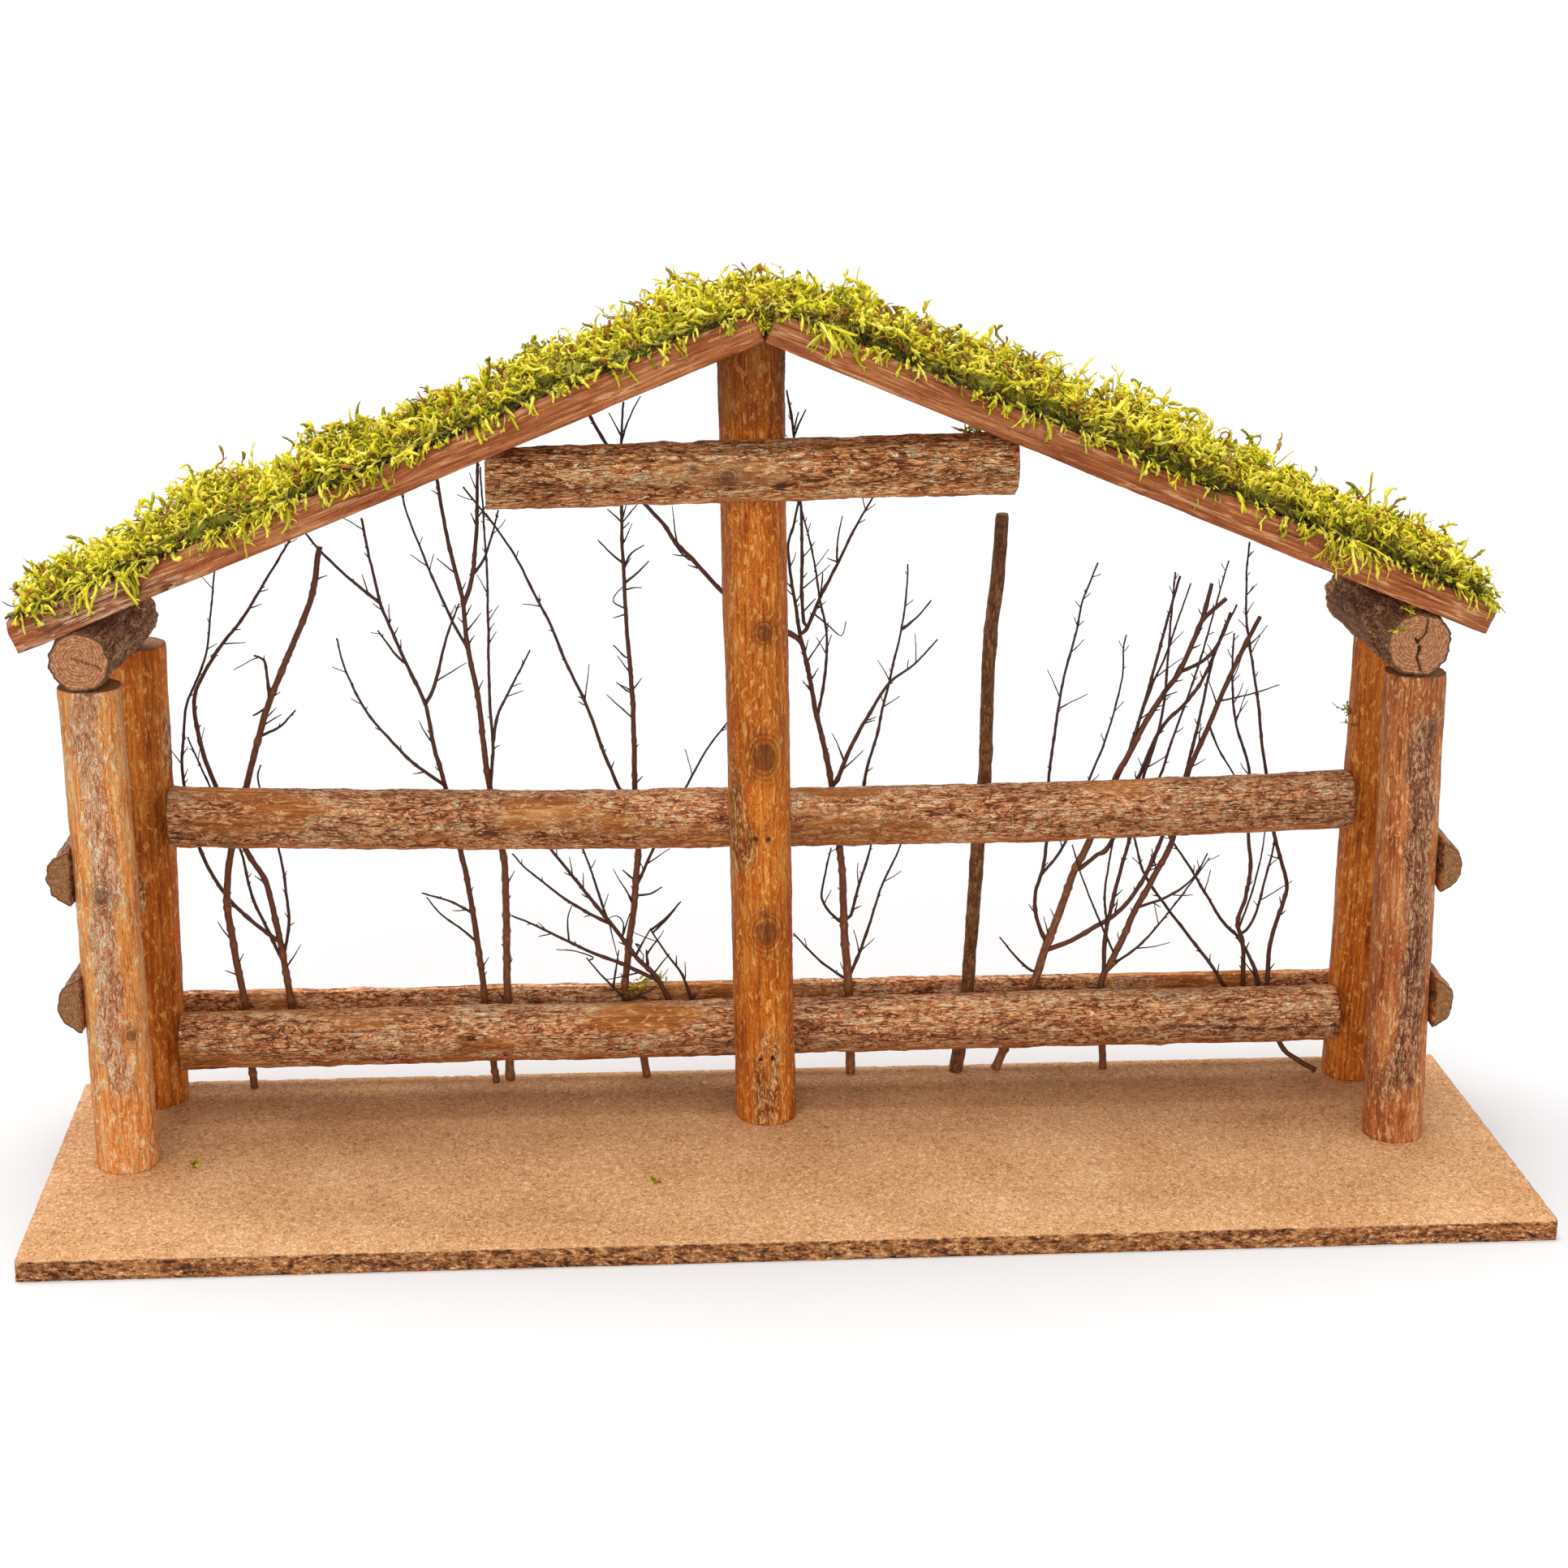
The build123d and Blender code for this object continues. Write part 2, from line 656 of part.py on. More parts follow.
for node, twig in twigs.items():
    paths = [twig["stem"]]
    for parent, height, points in twig.get("branches", []):
        paths.append([point_on(paths[parent], height), *points])
    first, last = (stick_dia, stick_tip_dia) if node == "twig_stick" else (twig_stem_dia, twig_tip_dia)
    limbs = [limb(paths[0], twig, first, last)]
    limbs += [limb(path, twig, twig_branch_dia, twig_tip_dia) for path in paths[1:]]
    save(node, limbs[0].fuse(*limbs[1:]) if limbs[1:] else limbs[0])

# Fasteners, one group to a kind
save_group("board_screws", post_screws.values())
save_group("purlin_nails", purlin_nails.values())
save_group("roof_nails", [*roof_nails.values(), *ridge_nails.values()])
save_group("side_rail_nails", side_rail_nails.values())
save_group("slab_nails", slab_nails.values())
save_group("rail_pins", [*mid_pins, *lower_pins])
save_group("tie_pins", tie_pins)
save_group("rail_end_nails", [*mid_end_nails.values(), *lower_end_nails.values()])
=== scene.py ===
import functools
import math

import bpy
import numpy as np
from mathutils import Matrix, Vector


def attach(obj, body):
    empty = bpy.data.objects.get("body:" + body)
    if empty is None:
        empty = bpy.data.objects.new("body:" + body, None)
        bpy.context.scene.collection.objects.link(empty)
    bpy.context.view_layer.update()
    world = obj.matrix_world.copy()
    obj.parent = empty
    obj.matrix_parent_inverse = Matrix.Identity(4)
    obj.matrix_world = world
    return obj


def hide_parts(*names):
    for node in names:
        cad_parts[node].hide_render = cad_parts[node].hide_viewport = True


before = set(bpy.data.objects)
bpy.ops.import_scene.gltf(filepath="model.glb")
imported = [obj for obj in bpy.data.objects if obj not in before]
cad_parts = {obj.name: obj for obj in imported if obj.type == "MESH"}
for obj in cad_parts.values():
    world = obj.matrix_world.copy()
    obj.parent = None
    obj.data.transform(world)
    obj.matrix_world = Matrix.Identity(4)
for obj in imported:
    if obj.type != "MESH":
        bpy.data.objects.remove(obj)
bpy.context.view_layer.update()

mm = 0.001
print("frame loaded:", len(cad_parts), "nodes")


def linear(hexText):
    parts = [int(hexText[i:i + 2], 16) / 255 for i in (0, 2, 4)]
    return [c / 12.92 if c <= 0.04045 else ((c + 0.055) / 1.055) ** 2.4 for c in parts] + [1.0]


def addNode(tree, kind, feeds=None, stops=None, **settings):
    node = tree.nodes.new("ShaderNode" + kind)
    for key, value in settings.items():
        setattr(node, key, value)
    for key, value in (feeds or {}).items():
        if isinstance(value, bpy.types.Node):  # a node stands for its first output in use
            value = next(socket for socket in value.outputs if socket.enabled)
        if isinstance(value, bpy.types.NodeSocket):
            tree.links.new(value, node.inputs[key])
        else:
            node.inputs[key].default_value = value
    for i, (place, colour) in enumerate(stops or []):  # a ramp's colours, as sRGB hex
        if i >= 2:
            node.color_ramp.elements.new(place)
        node.color_ramp.elements[i].position = place
        node.color_ramp.elements[i].color = linear(colour)
    return node


def newMaterial(name):
    # gives the material, and addNode bound to its tree
    material = bpy.data.materials.new(name)
    material.use_nodes = True
    material.node_tree.nodes.clear()
    return material, functools.partial(addNode, material.node_tree)


# Seeded noise on points in mm, so the same relief comes out on every run
def latticeValue(cell, seed):
    h = cell[..., 0] * 73856093 ^ cell[..., 1] * 19349663 ^ cell[..., 2] * 83492791 ^ seed * 97531
    h = h & 0xFFFFFFFF
    h = (h ^ (h >> 15)) * 2246822519 & 0xFFFFFFFF
    h = (h ^ (h >> 13)) * 3266489917 & 0xFFFFFFFF
    return ((h ^ (h >> 16)) & 0xFFFFFF) / 0xFFFFFF


def softNoise(points, seed):
    cell = np.floor(points).astype(np.int64)
    part = points - cell
    part = part * part * (3 - 2 * part)
    total = np.zeros(points.shape[:-1])
    for corner in range(8):
        step = np.array([corner & 1, corner >> 1 & 1, corner >> 2 & 1])
        weight = np.where(step, part, 1 - part).prod(-1)
        total += weight * latticeValue(cell + step, seed)
    return total


def roughNoise(points, seed, layers=3):
    total, weight, most = 0.0, 1.0, 0.0
    for layer in range(layers):
        total = total + weight * softNoise(points * 2.03 ** layer, seed + layer)
        most += weight
        weight *= 0.5
    return total / most


def lineNoise(values, seed, layers, shift):
    # rough noise along one line
    return roughNoise(np.multiply.outer(values, [1, 0, 0]) + shift, seed, layers)


def smoothStep(low, high, value):
    t = np.clip((value - low) / (high - low), 0, 1)
    return t * t * (3 - 2 * t)


def unit(vectors, least=0.0):
    return vectors / (np.linalg.norm(vectors, axis=-1, keepdims=True) + least)


def runLength(points):
    # how far along a line each of its points is
    return np.concatenate([[0], np.cumsum(np.linalg.norm(np.diff(points, axis=0), axis=1))])


def makePiece(name, points, faces, layers, material, nodes=()):
    mesh = bpy.data.meshes.new(name)
    mesh.vertices.add(len(points))
    mesh.vertices.foreach_set("co", np.asarray(points * mm, np.float32).ravel())
    corners = np.concatenate([f.ravel() for f in faces]).astype(np.int32)
    sizes = np.concatenate([np.full(len(f), f.shape[1]) for f in faces])
    mesh.loops.add(len(corners))
    mesh.loops.foreach_set("vertex_index", corners)
    mesh.polygons.add(len(sizes))
    mesh.polygons.foreach_set("loop_start", (np.cumsum(sizes) - sizes).astype(np.int32))
    mesh.update(calc_edges=True)
    mesh.shade_smooth()
    for key, values in layers.items():
        wide = values.ndim == 2
        layer = mesh.attributes.new(key, "FLOAT_VECTOR" if wide else "FLOAT", "POINT")
        layer.data.foreach_set("vector" if wide else "value", np.asarray(values, np.float32).ravel())
    mesh.materials.append(material)
    piece = bpy.data.objects.new(name, mesh)
    bpy.context.collection.objects.link(piece)
    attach(piece, "root")
    if nodes:
        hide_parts(*nodes)


# Camera where the photograph was taken from: mm, degrees, and the lens for a 36 mm sensor
shot = {"place": (-84.5, -1056.1, 496.1), "yaw": 4.58, "pitch": 17.24, "roll": 0.54,
        "lens": 63.86, "sensor": 36}
yaw, pitch, roll = (math.radians(shot[key]) for key in ("yaw", "pitch", "roll"))
ahead = Vector((math.sin(yaw) * math.cos(pitch), math.cos(yaw) * math.cos(pitch), -math.sin(pitch)))
level = Vector((math.cos(yaw), -math.sin(yaw), 0))
upright = level.cross(ahead)
camRight = level * math.cos(roll) + upright * math.sin(roll)
camUp = upright * math.cos(roll) - level * math.sin(roll)
camera = bpy.data.objects.new("camera", bpy.data.cameras.new("camera"))
camera.matrix_world = Matrix([
    [camRight[i], camUp[i], -ahead[i], shot["place"][i] * mm] for i in range(3)] + [[0, 0, 0, 1]])
camera.data.lens = shot["lens"]
camera.data.sensor_width = shot["sensor"]
camera.data.clip_start = 0.05
bpy.context.collection.objects.link(camera)
bpy.context.scene.camera = camera
print("camera set")


# Woods: colours from dark to light of the bare wood, the bark and the sawn end, and their places on the ramp;
# lines: how dark the flakes' edges are on bare wood and on bark, as painted shade under the edges; chip: a
# fine flake's width and length in mm
usualWood = {"bareAt": (0.2, 0.42, 0.56, 0.78), "barkAt": (0.05, 0.35, 0.58, 0.88), "cutAt": (0.15, 0.5, 0.9),
             "chip": (2.0, 5.5)}
woods = {
    "peeledSpruce": {  # poles peeled by hand: warm orange wood with thin pinkish scraps of inner bark left on
        "bare": "B05A20 F89A4C FFB86C FFE2B0", "bark": "8E5034 DC9266 FCBE92 FFE8C6",
        "barkAt": (0.05, 0.35, 0.58, 0.92), "cut": "7A4522 B87F4C DDB07C",
        "rough": 0.62, "lines": (0.26, 0.85)},
    "brownSpruce": {  # a pole with more of its brown bark left in long strips
        "bare": "7E3C18 C46C36 DE8C50 F6C086", "bark": "522C1C 9C5C3E CE8C60 FACC9A",
        "barkAt": (0.05, 0.35, 0.58, 0.92), "cut": "7A4522 B87F4C DDB07C",
        "rough": 0.62, "lines": (0.3, 0.9)},
    "amberSpruce": {  # the darker poles: rich amber where the bark came off clean
        "bare": "7A360C D06A18 EC882A FFB65C", "bark": "5A2A10 B4601E DE8C3E FFDCA0",
        "cut": "7A4522 B87F4C DDB07C", "rough": 0.58, "lines": (0.28, 0.85)},
    "barkedSpruce": {  # spruce with its thin bark on: brown layers, cream scars where flakes fell off
        "bare": "6E3614 AE642C CC8444 EAB478", "bark": "6A361C C87A4C F0A66E FFCE98 FFF0CC",
        "barkAt": (0.12, 0.36, 0.56, 0.76, 0.98), "cut": "6A4226 AC7A50 D8AC80",
        "rough": 0.72, "lines": (0.4, 0.9)},
    "ledgedBark": {  # the tie's bark, in long ledges that weather has parted
        "bare": "6E3A1C AE6A38 CA8A50 EEBC86", "bark": "4E2612 BC6C38 F0A062 FFCC8E FFF2D0",
        "barkAt": (0.08, 0.34, 0.54, 0.74, 0.96), "cut": "6A4226 AC7A50 D8AC80", "rough": 0.72,
        "lines": (0.5, 0.95), "chip": (1.9, 8.0)},
    "crackedBark": {  # dark thick bark with deep cracks, on the eave logs
        "bare": "5C3A26 84583C A07050 C89C74", "bark": "3A1E10 845230 B67C50 E8BC8C",
        "cut": "74401F C68458 F4C8A0", "rough": 0.8, "lines": (0.55, 0.9)},
    "splitSlat": {  # sawn and split roof slat: reddish-brown, fibrous, with paler torn ledges
        "bare": "70340F AA5C30 C47848 E2A472", "bark": "5C2C18 A05C3A CC8C62 F0C8A0",
        "cut": "8A4C2C C07C4C DCA676", "rough": 0.72, "lines": (0.16, 0.5), "chip": (2.2, 26.0)},
    "darkShootBark": {  # a straight shoot with its smooth dark brown bark on
        "bare": "54290F 6E3C1A 824E26 986638", "bareAt": (0.3, 0.42, 0.55, 0.72),
        "bark": "4A2712 6A3E1E 80502A 9E6E40", "barkAt": (0.08, 0.32, 0.58, 0.85),
        "cut": "4A2C16 7A5230 A07A50", "rough": 0.6, "lines": (0.4, 0.6)},
}


def woodMaterial(name, wood):
    # reads what the carving left on the mesh: bark, layers of flakes, relief and the grain's run
    wood = {**usualWood, **wood}
    material, add = newMaterial(name)
    grain = add("Attribute", attribute_name="grain").outputs["Vector"]
    barkMask, layer, relief, cutEnd, knot, shade = (
        add("Attribute", attribute_name=key).outputs["Fac"]
        for key in ("bark", "layer", "relief", "cutEnd", "knot", "shade"))
    # streaks 1 mm wide and 25 mm long down the grain, broad warm patches, specks, and fine flakes
    noises = []
    for wide, long, detail in (
            (1.0, 25, {"Detail": 4}), (9, 30, {"Detail": 3}), (1.4, 3.5, {"Detail": 3}),
            (*wood["chip"], {"Detail": 2, "Distortion": 0.7})):
        at = add("VectorMath", {0: grain, 1: (1 / wide, 1 / long, 1 / wide)}, operation="MULTIPLY")
        noises.append(add("TexNoise", {"Vector": at, "Scale": 1, **detail}))
    streak, patch, speck, chip = noises
    chips = add("Math", {0: chip, 1: 10.0}, operation="MULTIPLY")
    # thin layers that lift off, large and fine: a tone for each, a dark line under its edge (painted shade
    # where the edge steps up), and its height
    tones, edges, heights = [], [], []
    for ledge, reach in ((layer, 0.3), (chips, 0.42)):
        level = add("Math", {0: ledge}, operation="FLOOR")
        part = add("Math", {0: ledge}, operation="FRACT")
        tones.append(add("TexWhiteNoise", {"W": level}, noise_dimensions="1D"))
        edge = add("MapRange", {"Value": part, 2: reach, 3: 1.0, 4: 0.0}, interpolation_type="SMOOTHSTEP")
        edges.append(edge)
        step = add("MapRange", {"Value": part, 2: reach}, interpolation_type="SMOOTHSTEP")
        heights.append(add("Math", {0: level, 1: step}, operation="ADD"))
    tone, chipTone = tones
    scrap = add("MapRange", {"Value": chipTone, 1: 0.8, 2: 0.86, 3: 0.0, 4: 0.26})
    ramps = []
    for key, mixed, shares in (
            ("bare", -0.2, ((streak, 0.75), (patch, 0.55), (chipTone, 0.1), (scrap, 1.0))),
            ("bark", -0.46, ((speck, 0.75), (patch, 0.5), (tone, 0.26), (chipTone, 0.5)))):
        for source, share in shares:
            mixed = add("Math", {0: source, 1: share, 2: mixed}, operation="MULTIPLY_ADD")
        ramps.append(add("ValToRGB", {"Fac": mixed}, zip(wood[key + "At"], wood[key].split())))
    skin = add("Mix", {0: barkMask, 6: ramps[0], 7: ramps[1]}, data_type="RGBA")
    # dark lines, painted shade in the crevices: the layers' edges, hair cracks in the bark, and the fine
    # flakes' edges, which come and go
    split = add("Math", {0: streak, 1: 0.5, 2: 0.016}, operation="COMPARE")
    split = add("Math", {0: split, 1: barkMask}, operation="MULTIPLY")
    comes = add("MapRange", {"Value": speck, 1: 0.4, 2: 0.58, 3: 0.1, 4: 1.0})
    broken = add("Math", {0: comes, 1: edges[1]}, operation="MULTIPLY")
    lines = add("Math", {0: edges[0], 1: 0.75}, operation="MULTIPLY")
    for other in (split, broken):
        lines = add("Math", {0: other, 1: lines}, operation="MAXIMUM")
    dark = add("MapRange", {"Value": barkMask, 3: wood["lines"][0], 4: wood["lines"][1]})
    dark = add("Math", {0: dark, 1: lines}, operation="MULTIPLY")
    skin = add("Mix", {0: dark, 6: skin, 7: linear("34170A")}, data_type="RGBA")
    # knots: dark amber heart with rings
    ringed = add("Math", {0: knot, 1: 26.0}, operation="MULTIPLY")
    ringed = add("Math", {0: ringed}, operation="SINE")
    ringed = add("Math", {0: ringed, 1: 0.32, 2: 0.46}, operation="MULTIPLY_ADD")
    ringed = add("Math", {0: ringed, 1: knot}, operation="MULTIPLY")
    skin = add("Mix", {0: ringed, 6: skin, 7: linear("5A2C12")}, data_type="RGBA")
    # sawn ends: growth rings 1.3 mm apart round the pith, broken by specks
    away = add("VectorMath", {0: grain}, operation="LENGTH").outputs["Value"]
    rings = add("Math", {0: patch, 1: 5.0, 2: away}, operation="MULTIPLY_ADD")
    rings = add("Math", {0: rings, 1: 2 * math.pi / 1.3}, operation="MULTIPLY")
    rings = add("Math", {0: rings}, operation="SINE")
    rings = add("Math", {0: rings, 1: 0.09, 2: 0.05}, operation="MULTIPLY_ADD")
    rings = add("Math", {0: speck, 1: 0.9, 2: rings}, operation="MULTIPLY_ADD")
    cutRamp = add("ValToRGB", {"Fac": rings}, zip(wood["cutAt"], wood["cut"].split()))
    whole = add("Mix", {0: cutEnd, 6: skin, 7: cutRamp}, data_type="RGBA")
    # painted shade in the low places: cracks, hollows and worn ends; times the shade layer, which holds broad
    # tone that differs at random, painted light and shade on some sides, lighter or darker stretches and the
    # ends' tone
    low = add("MapRange", {"Value": relief, 1: -1.3, 2: -0.45, 3: 0.2, 4: 1.0})
    paintedShadeAndTone = add("Math", {0: low, 1: shade}, operation="MULTIPLY")
    colour = add("VectorMath", {0: whole, "Scale": paintedShadeAndTone}, operation="SCALE")
    high = add("Math", {0: heights[1], 1: 0.9, 2: heights[0]}, operation="MULTIPLY_ADD")
    fine = add("Bump", {"Height": high, "Strength": 0.8, "Distance": 0.4 * mm})
    shader = add("BsdfPrincipled", {
        "Base Color": colour, "Roughness": wood["rough"], "IOR": 1.45, "Specular IOR Level": 0.3,
        "Normal": fine})
    add("OutputMaterial", {"Surface": shader})
    return material


timber = {name: woodMaterial(name, wood) for name, wood in woods.items()}


def nailMaterial():
    # blackened iron wire of the nails and staples: dull, nearly black, with specks of rust about 1 mm wide
    material, add = newMaterial("blackenedWireNail")
    where = add("TexCoord").outputs["Object"]
    rust = add("TexNoise", {"Vector": where, "Scale": 0.9 / mm, "Detail": 3})
    iron = add("ValToRGB", {"Fac": rust}, [(0.35, "1C1714"), (0.5, "342A24"), (0.68, "5A4030")])
    shader = add("BsdfPrincipled", {"Base Color": iron, "Metallic": 0.7, "Roughness": 0.55})
    add("OutputMaterial", {"Surface": shader})
    return material


wireIron = nailMaterial()
for name in ("board_screws", "purlin_nails", "roof_nails", "side_rail_nails", "slab_nails", "rail_pins",
             "tie_pins", "rail_end_nails"):
    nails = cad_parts[name].data.materials
    nails.clear()
    nails.append(wireIron)
print("woods and iron mixed")


def outline(kind, wide, high):
    # a closed outline in mm, evenly stepped
    step = 0.75
    if kind == "round":
        turn = np.linspace(0, 2 * math.pi, int(math.pi * wide / step), endpoint=False)
        return np.stack([np.cos(turn), np.sin(turn)], -1) * wide / 2
    if kind == "half":  # the flat is on the -x side
        reach = (high * high / 4 + wide * wide) / (2 * wide)
        swing = math.asin(high / 2 / reach)
        turn = np.linspace(-swing, swing, int(2 * swing * reach / step))
        arc = np.stack([np.cos(turn) * reach - reach + wide, np.sin(turn) * reach], -1)
        flat = np.linspace(high / 2, -high / 2, int(high / step))[1:-1]
        return np.concatenate([arc, np.stack([flat * 0, flat], -1)])
    ends = [(wide / 2, -high / 2), (wide / 2, high / 2), (-wide / 2, high / 2), (-wide / 2, -high / 2)]
    runs = []
    for (x, y), (nextX, nextY) in zip(ends, ends[1:] + ends[:1]):
        count = max(2, int(math.hypot(nextX - x, nextY - y) / step))
        t = np.linspace(0, 1, count, endpoint=False)[:, None]
        runs.append(np.array([[x, y]]) * (1 - t) + np.array([[nextX, nextY]]) * t)
    return np.concatenate(runs)


# What a log's look has unless it says otherwise. Turns are shares of the way round, places are mm along
usualLook = {
    "step": 1.0, "soften": 0, "layers": 11, "fibre": 0.3, "swell": 0.9, "inset": 0.25, "worn": 0.7,
    "pith": (1.5, -1.0), "endShade": 1.0,
    "cracks": [],  # turn, start, end, depth
    "knots": [],  # turn, place, size
    "holes": [],  # turn, place, size
    "sideLightAndTone": [],  # turn, width, how much lighter: mostly painted light on lit tops and painted shade on undersides and shaded sides, partly the wood's own paler sawn edge or patches
    "toneAlong": [],  # start, end, how much lighter, along a stretch of the log
    "stripped": [],  # turn, start, end, width, bark that is left
    "endCracks": [],  # angle, reach, depth
}
# Sizes in mm of the marks on wood, twice across the grain and along it; bend: how far a flake's edge wobbles
markSize = {"bark": (16, 16, 60), "wobble": (4, 4, 7), "bend": (2.5, 2.5, 5), "fibre": (1, 1, 16),
            "swell": (14, 14, 45), "chip": (3, 3, 3), "shade": (22, 22, 38), "rag": (3, 3, 12),
            "dent": (1.6, 1.6, 5)}


def carve(node, section, line, across, up, look, wood, growth=None, suffix="_skin"):
    # sweeps a section along a line of points in mm, and works the surface as the look says
    look = {**usualLook, **look}
    line, across, up = (np.asarray(part, float) for part in (line, across, up))
    count, seed = len(section), look["seed"]
    along = runLength(line)
    steps = max(8, int(along[-1] / look["step"]))
    at = np.linspace(0, along[-1], steps + 1)
    spine = np.stack([np.interp(at, along, line[:, k]) for k in range(3)], -1)
    grown = np.interp(at, along, growth or np.ones(len(line)))
    ahead = np.roll(section, -1, 0) - np.roll(section, 1, 0)
    normal = unit(np.stack([ahead[:, 1], -ahead[:, 0]], -1))
    for _ in range(look["soften"]):
        normal = unit(normal + np.roll(normal, 1, 0) + np.roll(normal, -1, 0))
    girth = runLength(section)[-1]
    flat = section[None] * grown[:, None, None]
    local = np.concatenate([flat, np.broadcast_to(at[:, None, None], (steps + 1, count, 1))], -1)
    shift = np.array([seed * 37.1, seed * 11.7, seed * 53.3])
    there = local + shift
    ring = np.linspace(0, 1, count, endpoint=False)[None]

    def marks(key, number, layers=2):
        return roughNoise(there / markSize[key], seed + number, layers)

    def aside(turnAt, drift=0.0):
        return (ring - turnAt - drift + 0.5) % 1 - 0.5

    def between(start, end, soft):
        return (smoothStep(start, start + soft, at) * (1 - smoothStep(end - soft, end, at)))[:, None]

    # bark that is left, and the layers in which it flakes
    need = 1 - look["bark"]
    bark = smoothStep(need * 0.55 + 0.2, need * 0.55 + 0.32, marks("bark", 10, 3))
    wobble = np.stack([
        roughNoise(there / markSize["wobble"] + k, seed + 20 + k, 2) - 0.5 for k in (0, 1, 2)], -1)
    long, wide = look["flake"]
    bent = there + wobble * markSize["bend"]
    layer = roughNoise(bent / [wide, wide, long], seed + 30, 3) * look["layers"]
    terrace = (np.floor(layer) + smoothStep(0, 0.35, layer % 1)) / look["layers"] - 0.5
    relief = terrace * 3.6 * look["rough"] * (0.45 + 0.55 * bark) + (marks("fibre", 50) - 0.5) * look["fibre"]
    for i, (turnAt, start, end, deep) in enumerate(look["cracks"]):  # long drying cracks
        drift = softNoise(np.stack([at / 18, at * 0 + i, at * 0], -1) + shift, seed + 70) - 0.5
        side = np.abs(aside(turnAt, drift[:, None] * 0.05)) * girth
        relief = relief - deep * np.exp(-(side / 0.55) ** 2) * between(start, end, 12)
    knot = np.zeros_like(relief)
    for turnAt, place, size in look["knots"]:
        far = np.sqrt((aside(turnAt) * girth) ** 2 + ((at[:, None] - place) / 1.25) ** 2)
        bump = np.exp(-(far / size) ** 2)
        rim, heart = np.exp(-((far - size * 0.75) / 0.7) ** 2), np.exp(-(far / 0.9) ** 2)
        relief = relief + 0.9 * bump - 0.7 * rim - 0.8 * heart
        knot = np.maximum(knot, np.clip(1.4 * bump, 0, 1))
    for turnAt, place, size in look["holes"]:
        far = np.sqrt((aside(turnAt) * girth) ** 2 + (at[:, None] - place) ** 2)
        relief = relief - 1.6 * smoothStep(size, size * 0.6, far)
    toEnd = np.minimum(at, at[-1] - at)
    relief = relief - np.clip(1 - toEnd / 1.6, 0, 1)[:, None] * ((marks("chip", 80) - 0.25) * look["worn"])
    push = relief + (marks("swell", 60) - 0.5) * look["swell"] - look["inset"]
    work = flat + normal[None] * push[..., None]
    # the shade layer: broad lighter and darker tone at random; painted light and shade on sides and the
    # lighter or darker stretches are added below
    shade = 0.86 + 0.28 * marks("shade", 90)
    for turnAt, width, amount in look["sideLightAndTone"]:  # painted light and shade on sides, partly the wood's own paler or darker sides
        shade = shade + amount * np.exp(-(aside(turnAt) / width) ** 2)
    # a stretch along the log made lighter or darker
    for start, end, amount in look["toneAlong"]:
        shade = shade + amount * between(start - 6, end + 6, 12)
    for turnAt, start, end, width, amount in look["stripped"]:
        drift = (lineNoise(at / 22, seed + 95, 2, shift) - 0.5) * 0.12
        ragged = np.abs(aside(turnAt, drift[:, None])) + (marks("rag", 96) - 0.5) * 0.06
        bark = bark + (amount - bark) * smoothStep(width, width * 0.6, ragged) * between(start, end, 10)
    body = spine[:, None] + work[..., :1] * across + work[..., 1:] * up
    grain = np.stack([flat[..., 0] + seed * 100, local[..., 2] + seed * 50, flat[..., 1]], -1)
    pieces = [body.reshape(-1, 3)]
    layers = {"grain": [grain.reshape(-1, 3)], "bark": [bark.ravel()], "layer": [layer.ravel()],
              "relief": [relief.ravel()], "cutEnd": [np.zeros(relief.size)], "knot": [knot.ravel()],
              "shade": [shade.ravel()]}
    index = np.arange((steps + 1) * count).reshape(steps + 1, count)
    after = np.roll(index, -1, 1)
    quads = [np.stack([index[:-1], after[:-1], after[1:], index[1:]], -1).reshape(-1, 4)]
    triangles = []
    # the two sawn ends, in rings towards the middle
    pith = look["pith"]
    facing = np.cross(across, up)
    for last, outwards in ((0, -1), (-1, 1)):
        outer = work[last]
        middle = outer.mean(0)
        depth = max(6, int(np.abs(outer - middle).max() / 0.9))
        before, total = index[last], sum(len(p) for p in pieces)
        for k in range(1, depth):
            inner = middle + (outer - middle) * (1 - k / depth)
            spot = np.column_stack([inner, np.full(count, at[last])]) + shift
            dent = (roughNoise(spot / markSize["dent"], seed + 100, 2) - 0.5) * 0.5
            low = np.zeros(count)
            for angle, reach, deep in look["endCracks"]:
                way = np.array([math.cos(math.radians(angle)), math.sin(math.radians(angle))])
                bend = (lineNoise(inner @ way / 4, seed + 105, 1, shift) - 0.5) * 3
                off = np.abs(inner @ np.array([-way[1], way[0]]) - bend)
                crossed = (inner @ way > -reach * 0.3) * (inner @ way < reach)
                low -= deep * np.exp(-(off / 0.5) ** 2) * crossed
            sink = ((dent + low) * outwards)[:, None] * facing
            pieces.append(spine[last] + inner[:, :1] * across + inner[:, 1:] * up + sink)
            none = np.zeros(count)
            marked = {"grain": np.column_stack([inner[:, 0] - pith[0], none, inner[:, 1] - pith[1]]),
                      "bark": none, "layer": none + 0.5, "relief": dent * 0.6 + low * 1.2,
                      "cutEnd": none + 1, "knot": none, "shade": none + look["endShade"]}
            for key, values in marked.items():
                layers[key].append(values)
            fresh = np.arange(total, total + count)
            total += count
            one, two = np.roll(before, -1), np.roll(fresh, -1)
            quads.append(np.stack([before, one, two, fresh] if last else [before, fresh, two, one], -1))
            before = fresh
        pieces.append((spine[last] + middle[0] * across + middle[1] * up)[None])
        marked = {"grain": [middle[0] - pith[0], 0.0, middle[1] - pith[1]], "bark": 0.0, "layer": 0.5,
                  "relief": 0.0, "cutEnd": 1.0, "knot": 0.0, "shade": 1.0}
        for key, value in marked.items():
            layers[key].append(np.array([value]))
        one, tip = np.roll(before, -1), np.full(count, total)
